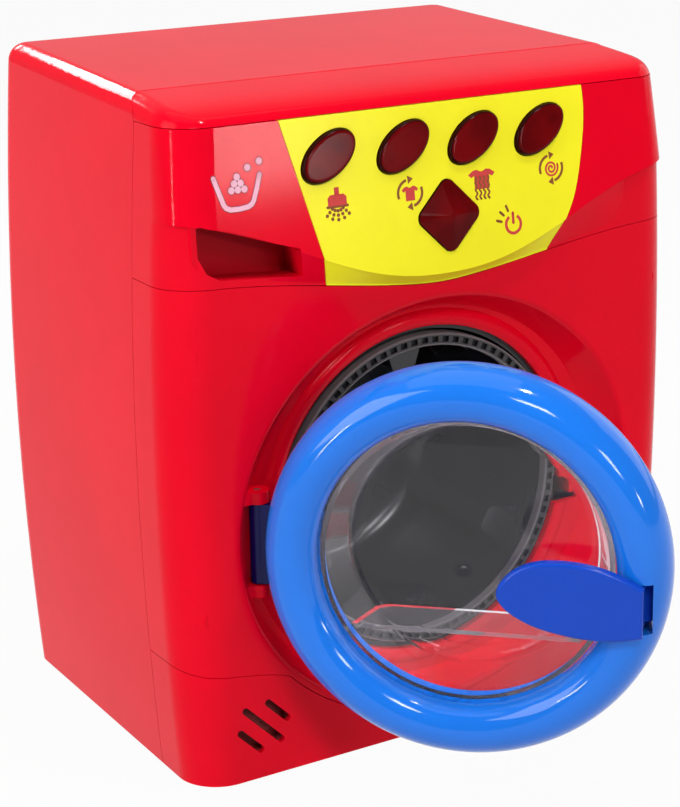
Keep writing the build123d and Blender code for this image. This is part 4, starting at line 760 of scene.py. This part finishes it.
class WASHER_OT_programme_signs(bpy.types.Operator):
    """Shower, washing, steam and spin signs under the four buttons"""
    bl_idname = "washer.programme_signs"
    bl_label = "Programme signs"

    def execute(self, context):
        sizes = context.scene.washer_sizes
        colours = context.scene.washer_colours
        red = ink("ink_red", colours.sign_red)
        brown = ink("ink_brown", colours.sign_brown)
        self.shower(sizes, red, brown)
        self.washing(sizes, red, brown)
        self.steam(sizes, red, brown)
        self.spin(sizes, red, brown)
        return {"FINISHED"}

    def shower(self, sizes, red, brown):
        """A shower head and its jets of drops."""
        head = Print(sizes.ink_thickness)
        u, v = shower_spot
        head.patch([(u - 1.1, v + 2.0), (u + 1.1, v + 2.0), (u + 1.1, v + 5.2), (u - 1.1, v + 5.2)])
        head.patch([(u - 4.3, v - 2.0), (u + 4.3, v - 2.0), (u + 4.3, v + 1.2), (u + 3.1, v + 2.4),
                    (u - 3.1, v + 2.4), (u - 4.3, v + 1.2)])
        head.build("sign_shower_head", red)
        rim = Print(sizes.ink_thickness * 0.8)
        rim.line([(u - 4.6, v - 2.3), (u + 4.6, v - 2.3)], sizes.thin_line)
        for jet in range(5):
            lean = radians(-44 + 22 * jet)
            for drop in range(sizes.spray_drops):
                reach = 3.4 + 1.75 * drop
                rim.disc(u + reach * 1.05 * sin(lean), v - 0.6 - reach * cos(lean), 0.75, steps=12)
        rim.build("sign_shower_spray", brown)

    def round_arrows(self, sign, u, v, sizes):
        """Two arrows that chase each other round a sign."""
        radius = sizes.sign_radius
        tall = 0.95
        for start, end, head, heading in ((200, 105, 98, 6), (20, -75, -82, 186)):
            sign.arc(u, v, radius, start, end, sizes.thin_line, tall=tall)
            turn = radians(head)
            sign.arrow(u + radius * cos(turn), v + tall * radius * sin(turn), heading, 1.7)

    def washing(self, sizes, red, brown):
        """A small shirt between two arrows."""
        u, v = washing_spot
        arrows = Print(sizes.ink_thickness)
        self.round_arrows(arrows, u, v, sizes)
        arrows.build("sign_washing_arrows", brown)
        top = Print(sizes.ink_thickness)
        top.patch(shirt(u, v - 0.2, 3.9, 2.9))
        top.build("sign_washing_shirt", red)

    def steam(self, sizes, red, brown):
        """A shirt with four wavy lines under it."""
        u, v = steam_spot
        top = Print(sizes.ink_thickness)
        top.patch(shirt(u, v - 0.6, 6.6, 4.0))
        top.build("sign_steam_shirt", red)
        waves = Print(sizes.ink_thickness * 1.5)
        for k in range(4):
            middle = u - 3.0 + 2.0 * k
            path = [(middle + 0.45 * sin(n * 1.3), v + 0.4 - 0.6 * n) for n in range(16)]
            waves.line(path, 0.8)
        waves.build("sign_steam_waves", brown)

    def spin(self, sizes, red, brown):
        """A coil between two arrows."""
        u, v = spin_spot
        arrows = Print(sizes.ink_thickness)
        self.round_arrows(arrows, u, v, sizes)
        arrows.build("sign_spin_arrows", brown)
        coil = Print(sizes.ink_thickness)
        turns = [0.35 * k for k in range(38)]
        reach = [0.5 + 0.235 * t for t in turns]
        coil.line([(u + far * cos(t), v + far * sin(t)) for far, t in zip(reach, turns)], 0.85)
        coil.build("sign_spin_coil", red)


class WASHER_OT_power_sign(bpy.types.Operator):
    """Power sign beside the diamond button: a broken ring, a bar and three short rays"""
    bl_idname = "washer.power_sign"
    bl_label = "Power sign"

    def execute(self, context):
        sizes = context.scene.washer_sizes
        colours = context.scene.washer_colours
        u, v = power_spot
        line = 1.25
        ring = Print(sizes.ink_thickness)
        ring.arc(u, v, 3.7, 122, 418, line, steps=28)
        ring.line([(u, v + 0.6), (u, v + 4.6)], line)
        ring.build("sign_power_ring", ink("ink_power", colours.sign_red))
        rays = Print(sizes.ink_thickness)
        for turn in (112, 138, 164):
            way = Vector((cos(radians(turn)), sin(radians(turn))))
            middle = Vector((u, v)) + way * 6.2
            rays.line([tuple(middle), tuple(middle + way * 2.2)], sizes.thin_line)
        rays.build("sign_power_rays", ink("ink_rays", colours.sign_brown))
        return {"FINISHED"}


# ---------------------------------------------------------------- stage
def seen_directly(recipe):
    """1 for rays that show the background itself: from the camera, a reflection or through glass."""
    path = recipe.node("ShaderNodeLightPath", out="Is Camera Ray")
    either = recipe.maths("MAXIMUM", path, path.output("Is Glossy Ray"))
    return recipe.maths("MAXIMUM", either, path.output("Is Transmission Ray"))


def softbox(name, place, aim, wide, tall, power):
    """A rectangular lamp at a place, turned to what it lights."""
    lamp = bpy.data.lights.new(name, "AREA")
    lamp.shape = "RECTANGLE"
    lamp.size = wide
    lamp.size_y = tall
    lamp.energy = power
    holder = bpy.data.objects.new(name, lamp)
    holder.location = place
    way = Vector(aim) - Vector(place)
    holder.rotation_euler = way.to_track_quat("-Z", "Y").to_euler()
    bpy.context.scene.collection.objects.link(holder)


class WASHER_OT_stage(bpy.types.Operator):
    """White floor, soft lamps and the camera"""
    bl_idname = "washer.stage"
    bl_label = "Stage"

    def execute(self, context):
        settings = context.scene.washer_stage
        self.floor(settings)
        self.world(context.scene, settings)
        body = (0, 0, 0.15)
        softbox("lamp_left", place=(-1.45, -0.05, 0.95), aim=body,
                wide=1.0, tall=1.0, power=settings.key_power)
        softbox("lamp_side", place=(-1.59, -0.32, 0.36), aim=(0, 0, 0.26),
                wide=0.045, tall=0.36, power=settings.side_power)
        softbox("lamp_top", place=(-0.1, 0.1, 1.6), aim=(0, 0, 0.1),
                wide=1.5, tall=1.2, power=settings.top_power)
        softbox("lamp_lip", place=(0.24, -0.47, 1.47), aim=(0, -0.08, 0.28),
                wide=0.16, tall=0.07, power=settings.lip_power)
        softbox("lamp_high", place=(-0.42, -1.2, 1.19), aim=body,
                wide=0.4, tall=0.22, power=settings.front_power)
        softbox("lamp_low", place=(0.14, -1.6, 0.68), aim=body,
                wide=0.26, tall=0.28, power=settings.front_power * 0.6)
        softbox("lamp_visor", place=(0.64, -1.4, 0.35), aim=(-0.09, -0.08, 0.27),
                wide=0.14, tall=0.12, power=settings.visor_power)
        softbox("lamp_right", place=(1.5, 0.1, 0.7), aim=body,
                wide=1.2, tall=1.0, power=settings.fill_power)
        softbox("lamp_back", place=(-0.1, 1.35, 1.03), aim=(-0.1, 0, 0.28),
                wide=0.7, tall=0.2, power=settings.back_power)
        self.camera(context.scene)
        context.scene.view_settings.view_transform = "Standard"
        return {"FINISHED"}

    def floor(self, settings):
        """White paper that keeps a little of the shadow."""
        half = settings.floor_size / 2
        level = -0.0003
        mesh = bpy.data.meshes.new("floor")
        ends = ((-1, -1), (1, -1), (1, 1), (-1, 1))
        mesh.from_pydata([(x * half, y * half, level) for x, y in ends], [], [(0, 1, 2, 3)])
        floor = bpy.data.objects.new("floor", mesh)
        bpy.context.scene.collection.objects.link(floor)
        material, r = new_finish("floor_white")
        paper = r.surface(colour=(0.60, 0.60, 0.60, 1.0), roughness=0.9, specular=0.0)
        white = r.node("ShaderNodeEmission", sockets={0: (1, 1, 1, 1), 1: 1.0})
        share = seen_directly(r) * 0.95
        r.finish(r.node("ShaderNodeMixShader", sockets={0: share, 1: paper, 2: white}))
        mesh.materials.append(material)

    def world(self, scene, settings):
        """White behind everything, a dimmer room in reflections, and weak light from all round."""
        world = bpy.data.worlds.new("studio")
        world.use_nodes = True
        r = Recipe(world.node_tree, "ShaderNodeOutputWorld")
        room = r.node("ShaderNodeBackground", sockets={0: (1, 1, 1, 1), 1: settings.ambient})
        white = r.node("ShaderNodeBackground", sockets={0: (1, 1, 1, 1), 1: 1.0})
        y = r.parts(r.node("ShaderNodeTexCoord", out="Generated"))[1]
        path = r.node("ShaderNodeLightPath", out="Is Camera Ray")
        through = r.maths("MAXIMUM", path, path.output("Is Transmission Ray"))
        mirrored = path.output("Is Glossy Ray") * (0.12 + 0.28 * r.step(y, -0.4, 0.5))
        share = r.maths("MAXIMUM", through, mirrored)
        r.finish(r.node("ShaderNodeMixShader", sockets={0: share, 1: room, 2: white}))
        scene.world = world

    def camera(self, scene):
        """The photograph's camera."""
        lens = bpy.data.cameras.new("camera")
        lens.sensor_fit = "VERTICAL"
        lens.sensor_height = 36.0
        lens.lens = camera_focal
        lens.shift_x, lens.shift_y = camera_shift
        lens.clip_start = 0.05
        lens.clip_end = 50
        holder = bpy.data.objects.new("camera", lens)
        right = Vector(camera_right)
        ahead = Vector(camera_ahead).normalized()
        up = right.cross(ahead).normalized()
        turn = Matrix((right.normalized(), up, -ahead)).transposed()
        holder.matrix_world = Matrix.Translation(camera_place) @ turn.to_4x4()
        scene.collection.objects.link(holder)
        scene.camera = holder


class WASHER_PT_panel(bpy.types.Panel):
    """Sizes, colours and steps of the toy washing machine"""
    bl_idname = "WASHER_PT_panel"
    bl_label = "Toy washing machine"
    bl_space_type = "VIEW_3D"
    bl_region_type = "UI"
    bl_category = "Washer"

    def draw(self, context):
        layout = self.layout
        scene = context.scene
        for group in (scene.washer_colours, scene.washer_sizes, scene.washer_stage):
            box = layout.box()
            for name in group.__annotations__:
                box.prop(group, name)
        for step in STEPS:
            layout.operator(step.bl_idname)


STEPS = (
    WASHER_OT_cabinet, WASHER_OT_controls, WASHER_OT_door, WASHER_OT_drum, WASHER_OT_drive,
    WASHER_OT_power, WASHER_OT_screws, WASHER_OT_basin_sign, WASHER_OT_programme_signs,
    WASHER_OT_power_sign, WASHER_OT_stage)
CLASSES = (WASHER_PG_colours, WASHER_PG_sizes, WASHER_PG_stage) + STEPS + (WASHER_PT_panel,)


def register():
    for item in CLASSES:
        bpy.utils.register_class(item)
    bpy.types.Scene.washer_colours = PointerProperty(type=WASHER_PG_colours)
    bpy.types.Scene.washer_sizes = PointerProperty(type=WASHER_PG_sizes)
    bpy.types.Scene.washer_stage = PointerProperty(type=WASHER_PG_stage)


def unregister():
    del bpy.types.Scene.washer_stage
    del bpy.types.Scene.washer_sizes
    del bpy.types.Scene.washer_colours
    for item in reversed(CLASSES):
        bpy.utils.unregister_class(item)


def corners(box):
    """Plain numbers of a box's two corners."""
    return [[float(value) for value in corner] for corner in box]


def main():
    """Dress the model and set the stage."""
    register()
    for step in STEPS:
        group, name = step.bl_idname.split(".")
        getattr(getattr(bpy.ops, group), name)()


if __name__ == "__main__":
    main()
